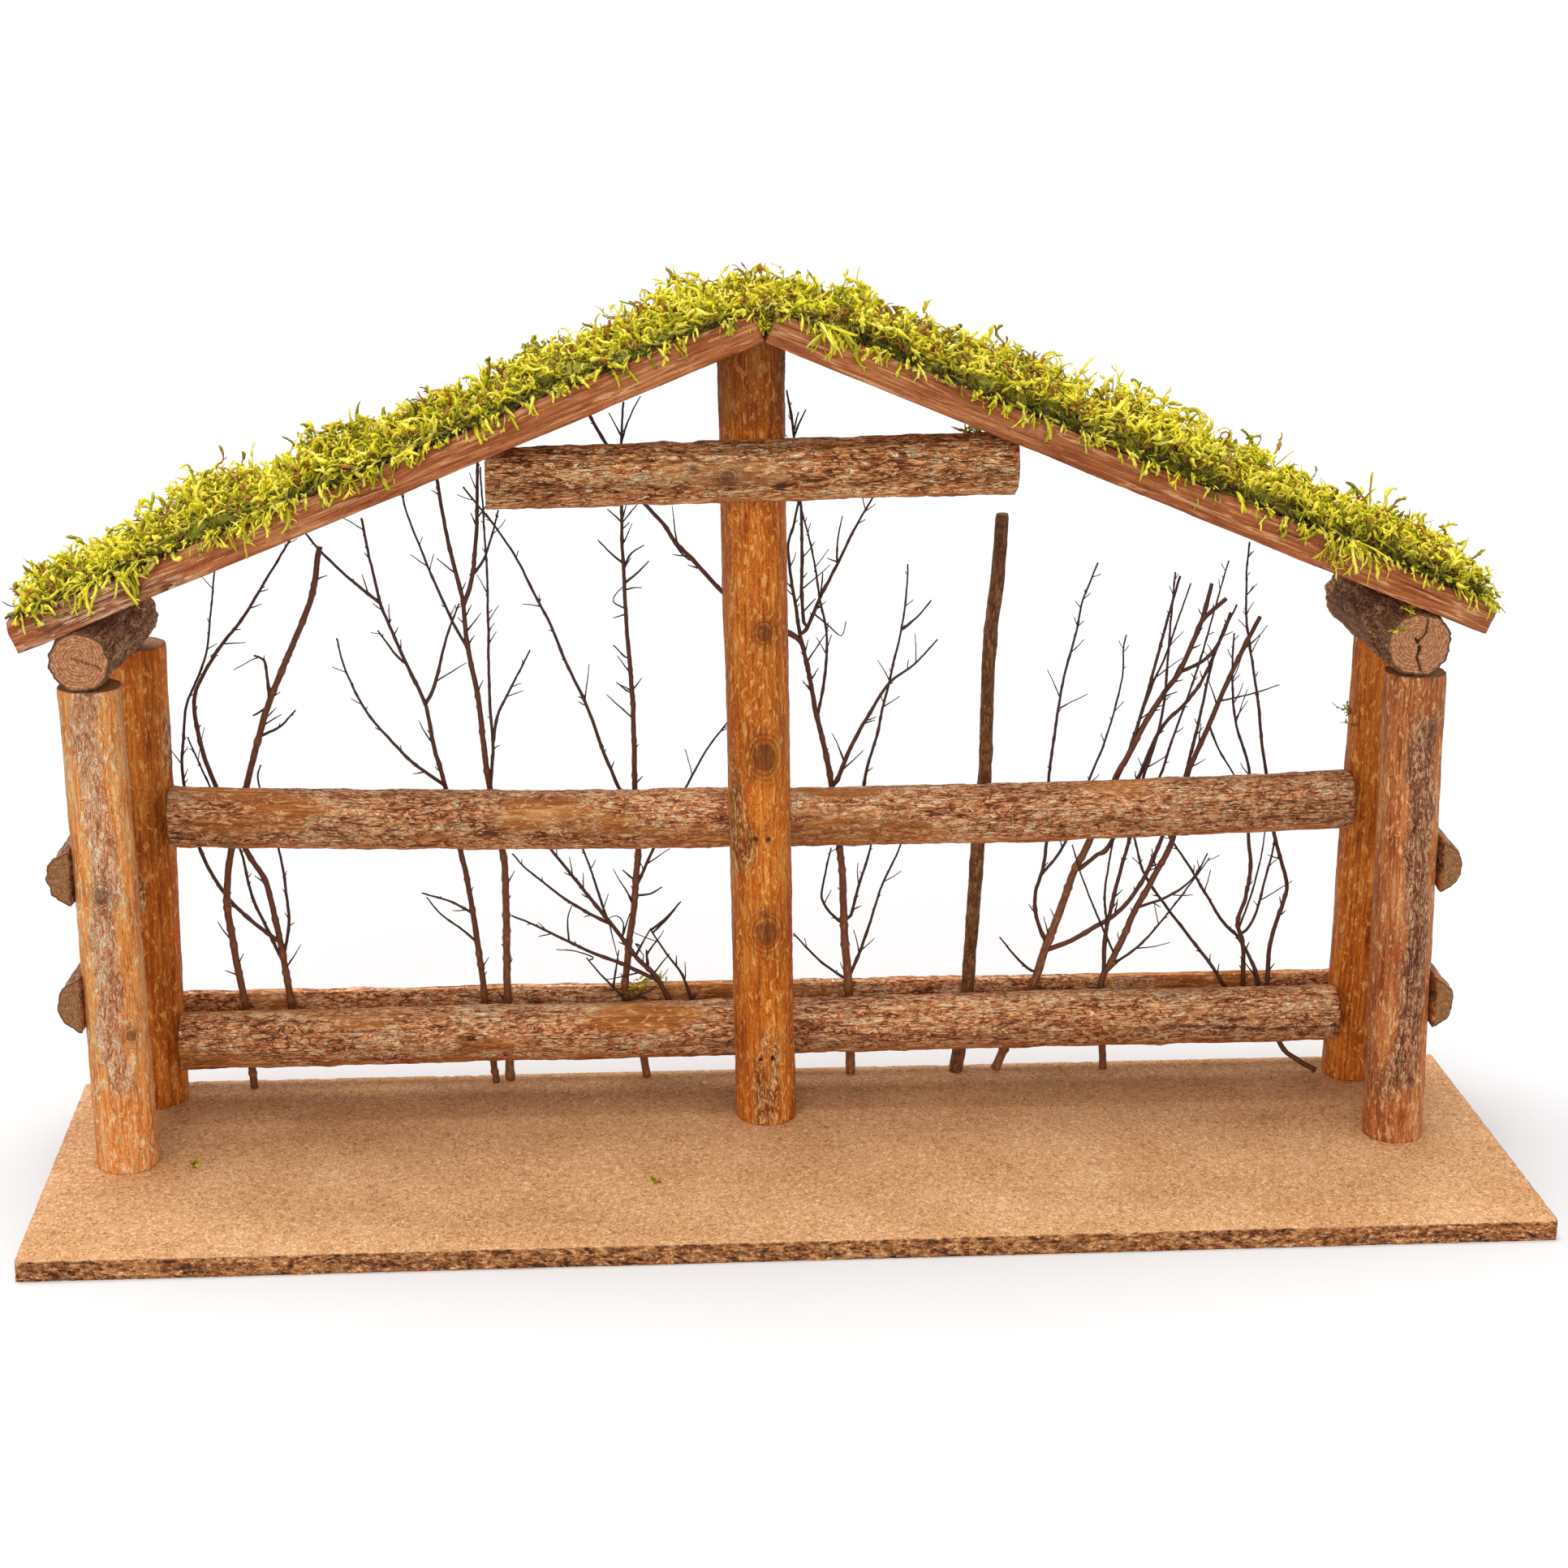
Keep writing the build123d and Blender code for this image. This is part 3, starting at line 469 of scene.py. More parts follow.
        triangles.append(np.stack([before, one, tip] if last else [one, before, tip], -1))
    layers = {key: np.concatenate(parts) for key, parts in layers.items()}
    faces = [np.concatenate(quads), np.concatenate(triangles)]
    makePiece(node + suffix, np.concatenate(pieces), faces, layers, timber[wood], [node])


def carveLog(node, log, across, up):
    wide, endWide = log["dia"]
    growth = list(np.linspace(1, endWide / wide, len(log["line"])))
    carve(node, outline("round", wide, wide), log["line"], across, up, log["look"], log["wood"], growth)


front, right, top = (0, -1, 0), (1, 0, 0), (0, 0, 1)

# Side posts and the centre post: turn 0 faces the front, turns run from the front to the right
boardTop = 8.5
sideTop, centreTop = boardTop + 202, boardTop + 332
posts = {
    "post_front_left": {
        "line": [(-267.3, 2.5, boardTop), (-270.0, 2.5, sideTop)], "dia": (25, 25), "wood": "peeledSpruce",
        "look": {"seed": 3, "bark": 0.2, "flake": (9, 3.0), "rough": 0.55,
                 "sideLightAndTone": [(0.14, 0.08, 0.12), (0.78, 0.12, -0.1)],
                 "knots": [(0.0, 120, 5.0), (0.09, 60, 3.5)],
                 "stripped": [(0.01, 30, 215, 0.085, 0.8), (0.14, -20, 230, 0.05, 0.0),
                              (0.0, -20, 25, 0.3, 0.1)]}},
    "post_front_right": {
        "line": [(260.0, 2.5, boardTop), (254.5, 2.5, sideTop)], "dia": (25, 25), "wood": "brownSpruce",
        "look": {"seed": 5, "bark": 0.3, "flake": (10, 3.0), "rough": 0.55,
                 "sideLightAndTone": [(0.75, 0.2, -0.05), (0.035, 0.06, -0.1)],
                 "stripped": [(0.035, 20, 190, 0.1, 1.0), (0.13, 60, 150, 0.035, 0.0),
                              (0.15, 170, 205, 0.05, 0.0), (0.85, 90, 205, 0.09, 0.0),
                              (0.0, -20, 22, 0.3, 0.1)]}},
    "post_rear_left": {
        "line": [(-263.5, 67.8, boardTop), (-262.0, 67.8, sideTop)], "dia": (25, 25), "wood": "amberSpruce",
        "look": {"seed": 7, "bark": 0.22, "flake": (8, 3.0), "rough": 0.45,
                 "sideLightAndTone": [(0.1, 0.05, -0.22), (0.2, 0.06, 0.08)]}},
    "post_rear_right": {
        "line": [(259.7, 67.8, boardTop), (260.6, 67.8, sideTop)], "dia": (25, 25), "wood": "amberSpruce",
        "look": {"seed": 9, "bark": 0.3, "flake": (8, 3.0), "rough": 0.4}},
    "post_centre": {
        "line": [(-3.3, 36.3, boardTop), (-12.2, 36.3, centreTop)], "dia": (25.6, 27), "wood": "amberSpruce",
        "look": {"seed": 11, "bark": 0.25, "flake": (8, 3.0), "rough": 0.5,
                 # the top above the tie is made darker
                 "sideLightAndTone": [(0.8, 0.12, -0.16), (0.2, 0.1, -0.1)], "toneAlong": [(297, 345, -0.38)],
                 "knots": [(0.02, 163, 8.0), (0.01, 87, 7.5), (0.0, 95.5, 2.6), (0.03, 215, 5.0)],
                 "holes": [(-0.033, 127.8, 1.2), (0.033, 127.4, 1.2), (-0.033, 30, 1.2),
                           (0.033, 30.3, 1.2)]}},
}
for name, post in posts.items():
    carveLog(name, post, front, right)
print("posts carved")

# Logs that lie: eave logs front to back, rails and tie left to right
logs = {
    "purlin_left": {
        "line": [(-271.8, -8, 222.5), (-265.1, 66, 223.8)], "dia": (24, 26.6), "wood": "crackedBark",
        "look": {"seed": 13, "bark": 0.75, "flake": (14, 4.2), "rough": 0.9, "pith": (1, -1), "worn": 0.9,
                 "cracks": [(0.93, 2, 74, 1.6), (0.86, 10, 60, 1.4), (0.05, 20, 74, 1.3)],
                 "endCracks": [(115, 9, 1.0)], "endShade": 1.05}},
    "purlin_right": {
        "line": [(251.8, -8, 223.9), (250.8, 81, 224.1)], "dia": (26.8, 27.2), "wood": "crackedBark",
        "look": {"seed": 17, "bark": 0.8, "flake": (10, 3.6), "rough": 1.0, "pith": (2.5, -1), "worn": 1.0,
                 "cracks": [(0.2, 0, 60, 1.4)], "endCracks": [(14, 11, 1.5), (168, 11, 1.7)],
                 "endShade": 0.96, "sideLightAndTone": [(0.2, 0.2, -0.12)]}},
    "tie_log": {
        "line": [(-115.8, 10.9, 289.2), (90.7, 10.9, 294.2)], "dia": (24.2, 24.2), "wood": "ledgedBark",
        "look": {"seed": 19, "bark": 0.85, "flake": (9, 2.6), "rough": 0.6,
                 "sideLightAndTone": [(0.08, 0.05, 0.2), (0.97, 0.04, -0.22), (0.175, 0.04, -0.2), (0.82, 0.05, 0.2)],
                 "knots": [(0.005, 93, 4.0), (0.05, 80, 2.0)],
                 "cracks": [(0.09, 30, 200, 1.0), (0.17, 0, 80, 1.2)],
                 "stripped": [(0.8, -20, 260, 0.06, 0.1), (0.02, 60, 120, 0.07, 0.25)]}},
    "mid_rail": {  # sags 4.3 mm in the middle
        "line": [(-250.9 + 499.3 * t, 62.2, 133.3 + 4.3 * (2 * t - 1) ** 2) for t in np.linspace(0, 1, 21)],
        "dia": (25.4, 25.4), "wood": "barkedSpruce",
        "look": {"seed": 23, "bark": 0.8, "flake": (9, 2.8), "rough": 0.5, "knots": [(0.9, 25, 4.0)],
                 "sideLightAndTone": [(0.1, 0.06, 0.2), (0.96, 0.06, -0.14), (0.82, 0.05, 0.15)],
                 "stripped": [(0.8, -20, 520, 0.07, 0.2), (0.93, 250, 330, 0.1, 0.3)]}},
    "lower_rail": {
        "line": [(-251.6, 61.6, 37.2), (248.4, 61.6, 39.6)], "dia": (24.6, 24.6), "wood": "barkedSpruce",
        "look": {"seed": 29, "bark": 0.8, "flake": (12, 2.8), "rough": 0.5,
                 "sideLightAndTone": [(0.14, 0.12, 0.22), (0.95, 0.07, -0.24)],
                 "stripped": [(0.82, -20, 520, 0.08, 0.15)],
                 "cracks": [(0.1, 0, 120, 0.9), (0.98, 400, 500, 1.0)]}},
}
for name, log in logs.items():
    across, up = (top, right) if name.startswith("purlin") else (front, top)
    carveLog(name, log, across, up)
print("rails, tie and eave logs carved")

# Roof slats, three to a slope; pitch in degrees, the rest in mm; crest: where the slats' tops meet the ridge
roof = {
    "ridge": (-9.2, 344.3), "front": -9.0, "wide": 27.0, "gap": 0.4, "thick": 12.5, "corner": 5.5, "count": 3,
    "look": {"soften": 3, "fibre": 0.5, "worn": 1.2, "step": 1.3},
    "left": {"pitch": 22.5, "long": 308.3, "crest": (-13.98, 355.85),
             "look": {"seed": 31, "bark": 0.2, "flake": (16, 4.0), "rough": 0.4, "swell": 0.8}},
    "right": {"pitch": 22.1, "long": 310.3, "crest": (-4.5, 355.88),
              "look": {"seed": 37, "bark": 0.25, "flake": (18, 4.5), "rough": 0.5, "swell": 0.9}},
}


def slatSection():
    # a box whose two upper corners are rounded
    wide, thick, corner = roof["wide"], roof["thick"], roof["corner"]
    points = outline("box", wide, thick)
    for sign in (1, -1):
        centre = np.array([sign * (wide / 2 - corner), thick / 2 - corner])
        off = points - centre
        inside = (off * [sign, 1] > 0).all(1)
        far = np.linalg.norm(off, axis=1)[inside][:, None]
        points[inside] = centre + off[inside] / far * np.minimum(far, corner)
    return points


for side, sign in (("left", -1), ("right", 1)):
    slope = math.radians(roof[side]["pitch"])
    down = np.array([sign * math.cos(slope), 0, -math.sin(slope)]) * roof[side]["long"]
    out = np.array([sign * math.sin(slope), 0, math.cos(slope)])
    for i in range(roof["count"]):
        y = roof["front"] + roof["wide"] / 2 + i * (roof["wide"] + roof["gap"])
        high = np.array([roof["ridge"][0], y, roof["ridge"][1]]) + out * roof["thick"] / 2
        line = [high, high + down][::sign]
        look = {**roof["look"], **roof[side]["look"]}
        look["seed"] += i * 2
        carve(f"roof_slat_{side}_{i + 1}", slatSection(), line, front, out, look, "splitSlat")
print("roof slats split")

# Half-round side rails, by their two ends, and the low rear slab
sideRails = {
    "size": (8.5, 22), "look": {"bark": 0.6, "flake": (9, 2.8), "rough": 0.7, "pith": (-3, 0), "soften": 2,
                                "worn": 0.9, "endShade": 0.72},
    "side_rail_left_upper": [(-281.6, -6, 134.1), (-277.6, 78, 134.1)],
    "side_rail_left_lower": [(-280.9, -6, 80.5), (-276.1, 78, 80.5)],
    "side_rail_right_upper": [(269.5, -6, 129.6), (273.3, 78, 129.6)],
    "side_rail_right_lower": [(271.0, -6, 70.3), (272.9, 78, 70.3)],
}
for i, name in enumerate([key for key in sideRails if key.startswith("side_rail")]):
    sign = -1 if "left" in name else 1
    along = np.subtract(*sideRails[name][::-1])
    along /= np.linalg.norm(along)
    out = np.array([along[1], -along[0], 0]) * sign
    carve(name, outline("half", *sideRails["size"])[::sign], sideRails[name], out, top,
          {**sideRails["look"], "seed": 41 + 2 * i}, "brownSpruce")
slab = {"line": [(-273.1, 82.7, 36.5), (269.9, 82.7, 36.5)], "thick": 4.6, "high": 29.0,
        "look": {"seed": 51, "bark": 0.75, "flake": (11, 3.0), "rough": 0.5, "soften": 2, "swell": 0.5,
                 "worn": 0.8, "step": 1.5, "sideLightAndTone": [(0.462, 0.035, 0.45), (0.3, 0.12, 0.08)],
                 "knots": [(0.3, 160, 4.0), (0.33, 172, 2.5), (0.28, 395, 4.5)]}}
carve("rear_slab", outline("box", slab["thick"], slab["high"]), slab["line"], front, top, slab["look"],
      "barkedSpruce")
print("side rails and slab carved")

# Fibre board: a flat top of pressed fibres, and four sawn edges of coarse chips, sizes in mm
board = {"x": (-297.8, 302.2), "y": (-85.0, 85.0), "corner": 2.0, "grid": (501, 143), "levels": 12,
         "seed": 61, "chip": (4.2, 4.2, 1.7), "smallChip": (1.9, 1.9, 0.9)}


def boardMaterial():
    # tan pressed fibre: hair-fine squiggles on top, a crumbly edge of light and dark chips
    material, add = newMaterial("pressedFibreBoard")
    grain = add("Attribute", attribute_name="grain").outputs["Vector"]
    edge, tone, relief = (
        add("Attribute", attribute_name=key).outputs["Fac"] for key in ("edge", "tone", "relief"))
    fibre = add("TexNoise", {"Vector": grain, "Scale": 1 / 1.7, "Detail": 3, "Distortion": 1.6})
    cloud = add("TexNoise", {"Vector": grain, "Scale": 1 / 45, "Detail": 2})
    mixed = add("Math", {0: cloud, 1: 0.25, 2: -0.12}, operation="MULTIPLY_ADD")
    mixed = add("Math", {0: fibre, 1: mixed}, operation="ADD")
    face = add("ValToRGB", {"Fac": mixed}, [
        (0.3, "A46E40"), (0.44, "D29C68"), (0.56, "EAB27E"), (0.7, "FFDAAA")])
    # the edge's chips, 2 by 0.8 mm, with bent outlines and dark seams
    grit = add("TexNoise", {"Vector": grain, "Scale": 1 / 0.9, "Detail": 3})
    chipAt = add("VectorMath", {0: grain, 1: (1 / 2.0, 1 / 2.0, 1 / 0.8)}, operation="MULTIPLY")
    bent = add("VectorMath", {
        0: grit.outputs["Color"], 1: (1.1, 1.1, 1.1), 2: chipAt}, operation="MULTIPLY_ADD")
    cells = add("TexVoronoi", {"Vector": bent, "Scale": 1}).outputs["Color"]
    seams = add("TexVoronoi", {"Vector": bent, "Scale": 1}, feature="DISTANCE_TO_EDGE").outputs["Distance"]
    chips = -0.4
    for source, share in ((grit, 0.6), (tone, 0.45), (cells, 0.6)):
        chips = add("Math", {0: source, 1: share, 2: chips}, operation="MULTIPLY_ADD")
    sawn = add("ValToRGB", {"Fac": chips}, [
        (0.12, "4A2410"), (0.3, "9E5A2E"), (0.48, "D08850"), (0.66, "F0B278"), (0.85, "FFDCA8")])
    seam = add("MapRange", {"Value": seams, 2: 0.12, 3: 0.5, 4: 1.0})
    sawn = add("VectorMath", {0: sawn, "Scale": seam}, operation="SCALE")
    whole = add("Mix", {0: edge, 6: face, 7: sawn}, data_type="RGBA")
    # painted shade in the hollows: chipped dents on the top, and where chips fell out of the edge
    low = add("MapRange", {"Value": relief, 1: -1.2, 2: -0.2, 3: 0.3, 4: 1.0})
    colour = add("VectorMath", {0: whole, "Scale": low}, operation="SCALE")
    ragged = add("Math", {0: edge, 1: seams}, operation="MULTIPLY")
    ragged = add("Math", {0: ragged, 1: 4.0, 2: fibre}, operation="MULTIPLY_ADD")
    fine = add("Bump", {"Height": ragged, "Strength": 0.35, "Distance": 0.3 * mm})
    shader = add("BsdfPrincipled", {
        "Base Color": colour, "Roughness": 0.7, "Specular IOR Level": 0.25, "Normal": fine})
    add("OutputMaterial", {"Surface": shader})
    return material


def flakeCells(points, seed):
    # distance to the border of each flake, and a value of its own for each flake
    cell = np.floor(points).astype(np.int64)
    first = np.full(points.shape[:-1], 9.0)
    second = np.full(points.shape[:-1], 9.0)
    own = np.zeros(points.shape[:-1])
    for i in range(27):
        near = cell + np.array([i % 3, i // 3 % 3, i // 9]) - 1
        middle = near + np.stack([latticeValue(near, seed + k) for k in (1, 2, 3)], -1)
        gap = np.linalg.norm(points - middle, axis=-1)
        closer = gap < first
        second = np.where(closer, first, np.minimum(second, gap))
        own = np.where(closer, latticeValue(near, seed + 4), own)
        first = np.where(closer, gap, first)
    return second - first, own


def gridFaces(countX, countY):
    # the ring of points round a grid, and the grid's faces
    index = np.arange(countX * countY).reshape(countX, countY)
    ring = np.concatenate([index[:, 0], index[-1, 1:], index[-2::-1, -1], index[0, -2:0:-1]])
    faces = np.stack([index[:-1, :-1], index[1:, :-1], index[1:, 1:], index[:-1, 1:]], -1)
    return ring, faces.reshape(-1, 4)


def pressBoard():
    (lowX, highX), (lowY, highY), (countX, countY) = board["x"], board["y"], board["grid"]
    seed, levels, radius = board["seed"], board["levels"], board["corner"]
    x, y = np.meshgrid(np.linspace(lowX, highX, countX), np.linspace(lowY, highY, countY), indexing="ij")
    flat = np.stack([x, y, np.full_like(x, boardTop)], -1)
    toEdge = np.minimum(np.minimum(x - lowX, highX - x), np.minimum(y - lowY, highY - y))
    crumb = roughNoise(flat / [4.0, 4.0, 2.0] + 50, seed, 3)
    chipped = smoothStep(0.58, 0.78, crumb) * np.clip(1 - toEdge / 2.0, 0, 1)
    flat[..., 2] -= 0.4 * chipped + 0.05 * roughNoise(flat / 1.8 + 90, seed + 5, 2)
    ring, faces = gridFaces(countX, countY)
    sides = [(0.0, -1.0, 0.0), (1.0, 0.0, 0.0), (0.0, 1.0, 0.0), (-1.0, 0.0, 0.0)]
    facing = np.repeat(sides, [countX, countY - 1, countX - 1, countY - 2], axis=0)
    face = flat.reshape(-1, 3)
    rim = face[ring].copy()
    rows, tones, reliefs = [], [], []
    for level in range(1, levels + 1):
        spot = rim.copy()
        spot[:, 2] = rim[:, 2] * (1 - level / levels)
        border, tone = flakeCells(spot / board["chip"] + 31, seed + 10)
        smallTone = flakeCells(spot / board["smallChip"] + 57, seed + 20)[1]
        relief = (tone - 0.6) * 0.9 + (smallTone - 0.6) * 0.5 - np.exp(-(border / 0.12) ** 2) * 0.5
        relief = np.where(tone > 0.9, relief - 1.1, relief)  # a chip that fell out
        tones.append(tone * 0.55 + smallTone * 0.45)
        reliefs.append(relief)
        rows.append(spot + facing * np.minimum(relief * 0.6 - 0.15, 0.1)[:, None])
    face[ring] = rim + facing * (np.minimum(reliefs[0] * 0.2, 0.0) - 0.2)[:, None]
    points = np.concatenate([face, *rows])
    for cornerX, cornerY in ((lowX, lowY), (lowX, highY), (highX, lowY), (highX, highY)):
        signX, signY = math.copysign(1, cornerX), math.copysign(1, cornerY)
        middle = np.array([cornerX - signX * radius, cornerY - signY * radius])
        off = points[:, :2] - middle
        far = np.linalg.norm(off, axis=1)
        tooFar = (off * [signX, signY] > 0).all(1) & (far > radius)
        points[tooFar, :2] = middle + off[tooFar] / far[tooFar][:, None] * radius
    quads, before, onTop = [faces], ring, len(face)
    for level in range(levels):
        fresh = onTop + level * len(ring) + np.arange(len(ring))
        quads.append(np.stack([before, fresh, np.roll(fresh, -1), np.roll(before, -1)], -1))
        before = fresh
    layers = {
        "grain": points + 400,
        "edge": np.concatenate([np.zeros(onTop), np.ones(len(points) - onTop)]),
        "tone": np.concatenate([np.full(onTop, 0.5), *tones]),
        "relief": np.concatenate([-0.8 * chipped.ravel(), *reliefs]) * 0.8}
    makePiece("base_board_skin", points, [np.concatenate(quads), before[::-1][None]], layers,
              boardMaterial(), ["base_board"])


pressBoard()
print("board pressed")

# Moss: a felted mat, painted dark as shade, with thousands of curled sprigs on it, sizes and places in mm
moss = {
    "x": (-298.0, 282.0), "y": (-9.0, 72.8), "seed": 71, "sprigs": 8200, "fringe": 460,
    "mats": {"left": (-298.0, -9.0), "right": (-9.2, 282.0)},
    "ridge": -9,  # sprigs left of it belong to the left slope
    "rows": {"front": (-20, 8), "near": (8, 24), "middle": (24, 41), "far": (41, 57), "back": (57, 90)},
    # tufts over the front edge: middle, spread, strands
    "tufts": [(14, 5, 26), (-253, 7, 18), (-194, 6, 14), (-210, 6, 16), (-160, 5, 10), (222, 6, 28)],
    # where it lies thicker or thinner along the roof
    "heaps": [(-299, -3), (-265, -7), (-225, 7), (-195, -5), (-180, 4), (-150, -4), (-106, 0), (-91, 6),
              (-76, -2), (-32, 6), (-10, -3), (28, 9), (60, 2), (102, 12), (117, 4), (147, 15), (176, 0),
              (191, 8), (215, 1), (236, 8), (280, 2)],
    # tips that stand against the sky, in x and z
    "tall": [(147, 316), (150, 314), (244, 277), (195, 298), (270, 266), (136, 327), (120, 337), (75, 347),
             (-60, 350), (-72, 339), (-209, 292)],
    # crumbs: place, spread, strands, longest
    "crumbs": [(-9.3, -6.5, 349.0, 2.0, 26, 6.5), (-9.3, -6.0, 353.5, 3.6, 40, 6.5),
               (-241.5, -3.8, 8.5, 1.5, 4, 3.2), (-51.4, -30.1, 8.5, 1.2, 3, 4.0),
               (-53, 81.5, 50.0, 10.0, 26, 6.0), (74, 10.9, 305.5, 3.5, 16, 5.0),
               (246.0, -7.5, 238.0, 1.5, 7, 5.0), (242.6, -8.8, 229.3, 1.0, 3, 4.0),
               (246.2, 62.5, 176.5, 1.2, 6, 4.5), (247.2, 61.5, 170.5, 0.8, 3, 3.5)],
}


def roofTop(x):
    # height of the slats' tops, rounded over the ridge
    heights = []
    for side, sign in (("left", 1), ("right", -1)):
        crestX, crestZ = roof[side]["crest"]
        heights.append(crestZ + sign * (x - crestX) * math.tan(math.radians(roof[side]["pitch"])))
    return -2.0 * np.logaddexp(-heights[0] / 2.0, -heights[1] / 2.0)


def ridgeLow(x):
    # the moss is worn thin on the ridge
    return 1 - 0.72 * np.exp(-((x + 9) / 34) ** 2)


def heaped(x):
    return np.interp(x, *np.transpose(moss["heaps"]))


def frontEdge(x):
    # how far the moss's front rim wanders, from 0 to 1
    return lineNoise(x / 11, moss["seed"], 3, 40)


def mossMaterial():
    # dried moss: yellow-green tips over olive and brown stems
    material, add = newMaterial("driedCurlyMoss")
    grain = add("Attribute", attribute_name="grain").outputs["Vector"]
    hue, tip, deep = (add("Attribute", attribute_name=key).outputs["Fac"] for key in ("hue", "tip", "deep"))
    leafy = add("TexNoise", {"Vector": grain, "Scale": 1 / 0.8, "Detail": 2})  # leaflets under 1 mm
    mixed = -0.25
    for source, share in ((leafy, 0.5), (hue, 1.0), (tip, 0.16)):
        mixed = add("Math", {0: source, 1: share, 2: mixed}, operation="MULTIPLY_ADD")
    green = add("ValToRGB", {"Fac": mixed}, [
        (0.02, "7A441A"), (0.13, "CC8A2E"), (0.21, "6A6608"), (0.36, "A4A410"), (0.56, "DED41E"),
        (0.78, "FAE632"), (1.0, "FFF462")])
    # painted shade: dark brown low in the moss, where the strands shade each other, and a painted highlight
    # that brightens the top strands
    lit = add("MapRange", {"Value": deep, 1: 0.08, 2: 0.62, 3: 0.0, 4: 1.0})
    shaded = add("Mix", {0: lit, 6: linear("2C1A06"), 7: green}, data_type="RGBA")
    bright = add("MapRange", {"Value": deep, 1: 0.3, 2: 1.1, 3: 0.85, 4: 1.2})
    colour = add("VectorMath", {0: shaded, "Scale": bright}, operation="SCALE")
    fine = add("Bump", {"Height": leafy, "Strength": 0.6, "Distance": 0.4 * mm})
    shader = add("BsdfPrincipled", {
        "Base Color": colour, "Roughness": 0.6, "Specular IOR Level": 0.3, "Normal": fine})
    add("OutputMaterial", {"Surface": shader})
    return material


mossGreen = mossMaterial()


def layMat(side):
    # the felted under-mat, lumpy and ragged at its rim
    (low, high), (front, back), seed = moss["mats"][side], moss["y"], moss["seed"]
    countX, countY = int((high - low) / 1.8), 44
    x, y = np.meshgrid(np.linspace(low, high, countX), np.linspace(0, 1, countY), indexing="ij")
    ragged = frontEdge(x)
    y = front + 2.0 + 6.0 * ragged + y * (back - front - 1.5 - 6.0 * ragged)
    lump = roughNoise(np.stack([x, y, x * 0], -1) / 7 + 20, seed + 2, 3)
    fall = np.minimum(np.linspace(0, 1, countY), np.linspace(1, 0, countY)) * countY / 5
    ends = np.minimum(x - low + 2, high + 2 - x) / 6
    swell = ridgeLow(x) * np.clip(1 + heaped(x) / 8, 0.25, 1.6)
    thick = 0.3 + (1.0 + 4.5 * lump) * swell * np.clip(fall, 0, 1)[None] * np.clip(ends, 0.3, 1)
    z = roofTop(x)
    upper = np.stack([x, y, z + thick], -1).reshape(-1, 3)
    lower = np.stack([x, y, z + 0.05], -1).reshape(-1, 3)
    ring, faces = gridFaces(countX, countY)
    under = faces[:, ::-1] + len(upper)
    rim = np.stack([ring, ring + len(upper), np.roll(ring, -1) + len(upper), np.roll(ring, -1)], -1)
    points = np.concatenate([upper, lower])
    tint = roughNoise(points / 3.0 + 77, seed + 4, 3)
    # deep: low on the mat, so the material paints it in dark shade, a little lighter on its lumps
    layers = {"hue": 0.12 + 0.45 * tint, "tip": np.zeros(len(points)), "grain": points + 400,
              "deep": np.concatenate([0.16 + 0.5 * lump.ravel(), np.zeros(len(lower))])}
    makePiece(f"moss_{side}_mat", points, [np.concatenate([faces, under, rim])], layers, mossGreen,
              [f"moss_{side}"])


def keepOff(path, room):
    # moves what sank into the slats out by the nearer way: up, or out over the front edge
    front, back = moss["y"][0] - 0.4, moss["y"][1]
    sunk = room - (path[..., 2] - roofTop(path[..., 0]))
    ahead = path[..., 1] - front + room
    inside = (sunk > 0) & (ahead > 0) & (path[..., 1] < back + 1)
    over = inside & (ahead < sunk)
    path[..., 1] = np.where(over, front - room, path[..., 1])
    path[..., 2] += np.where(inside & ~over, sunk, 0)
    return path


def strands(path, width, flat, twist):
    # closed ribbons of four sides along many paths at once: path is (strand, step, xyz)
    count, steps = path.shape[:2]
    run = unit(np.gradient(path, axis=1), 1e-9)
    side = unit(np.cross(run, np.roll(path[:, :1] - path[:, -1:], 1, -1) + np.array([0.3, 0.2, 1.0])), 1e-9)
    back = np.cross(side, run)
    rings = []
    for quarter in range(4):
        turn = quarter * math.pi / 2
        wide, thick = math.cos(turn) * width / 2, math.sin(turn) * width * flat / 2
        rings.append(path + side * (wide * np.cos(twist) - thick * np.sin(twist))[..., None]
                     + back * (wide * np.sin(twist) + thick * np.cos(twist))[..., None])
    index = np.arange(count * steps * 4).reshape(count, steps, 4)
    around = np.roll(index, -1, 2)
    sides = np.stack([index[:, :-1], around[:, :-1], around[:, 1:], index[:, 1:]], -1).reshape(-1, 4)
    caps = np.concatenate([index[:, 0, ::-1], index[:, -1]])
    return np.stack(rings, 2).reshape(-1, 3), np.concatenate([sides, caps])


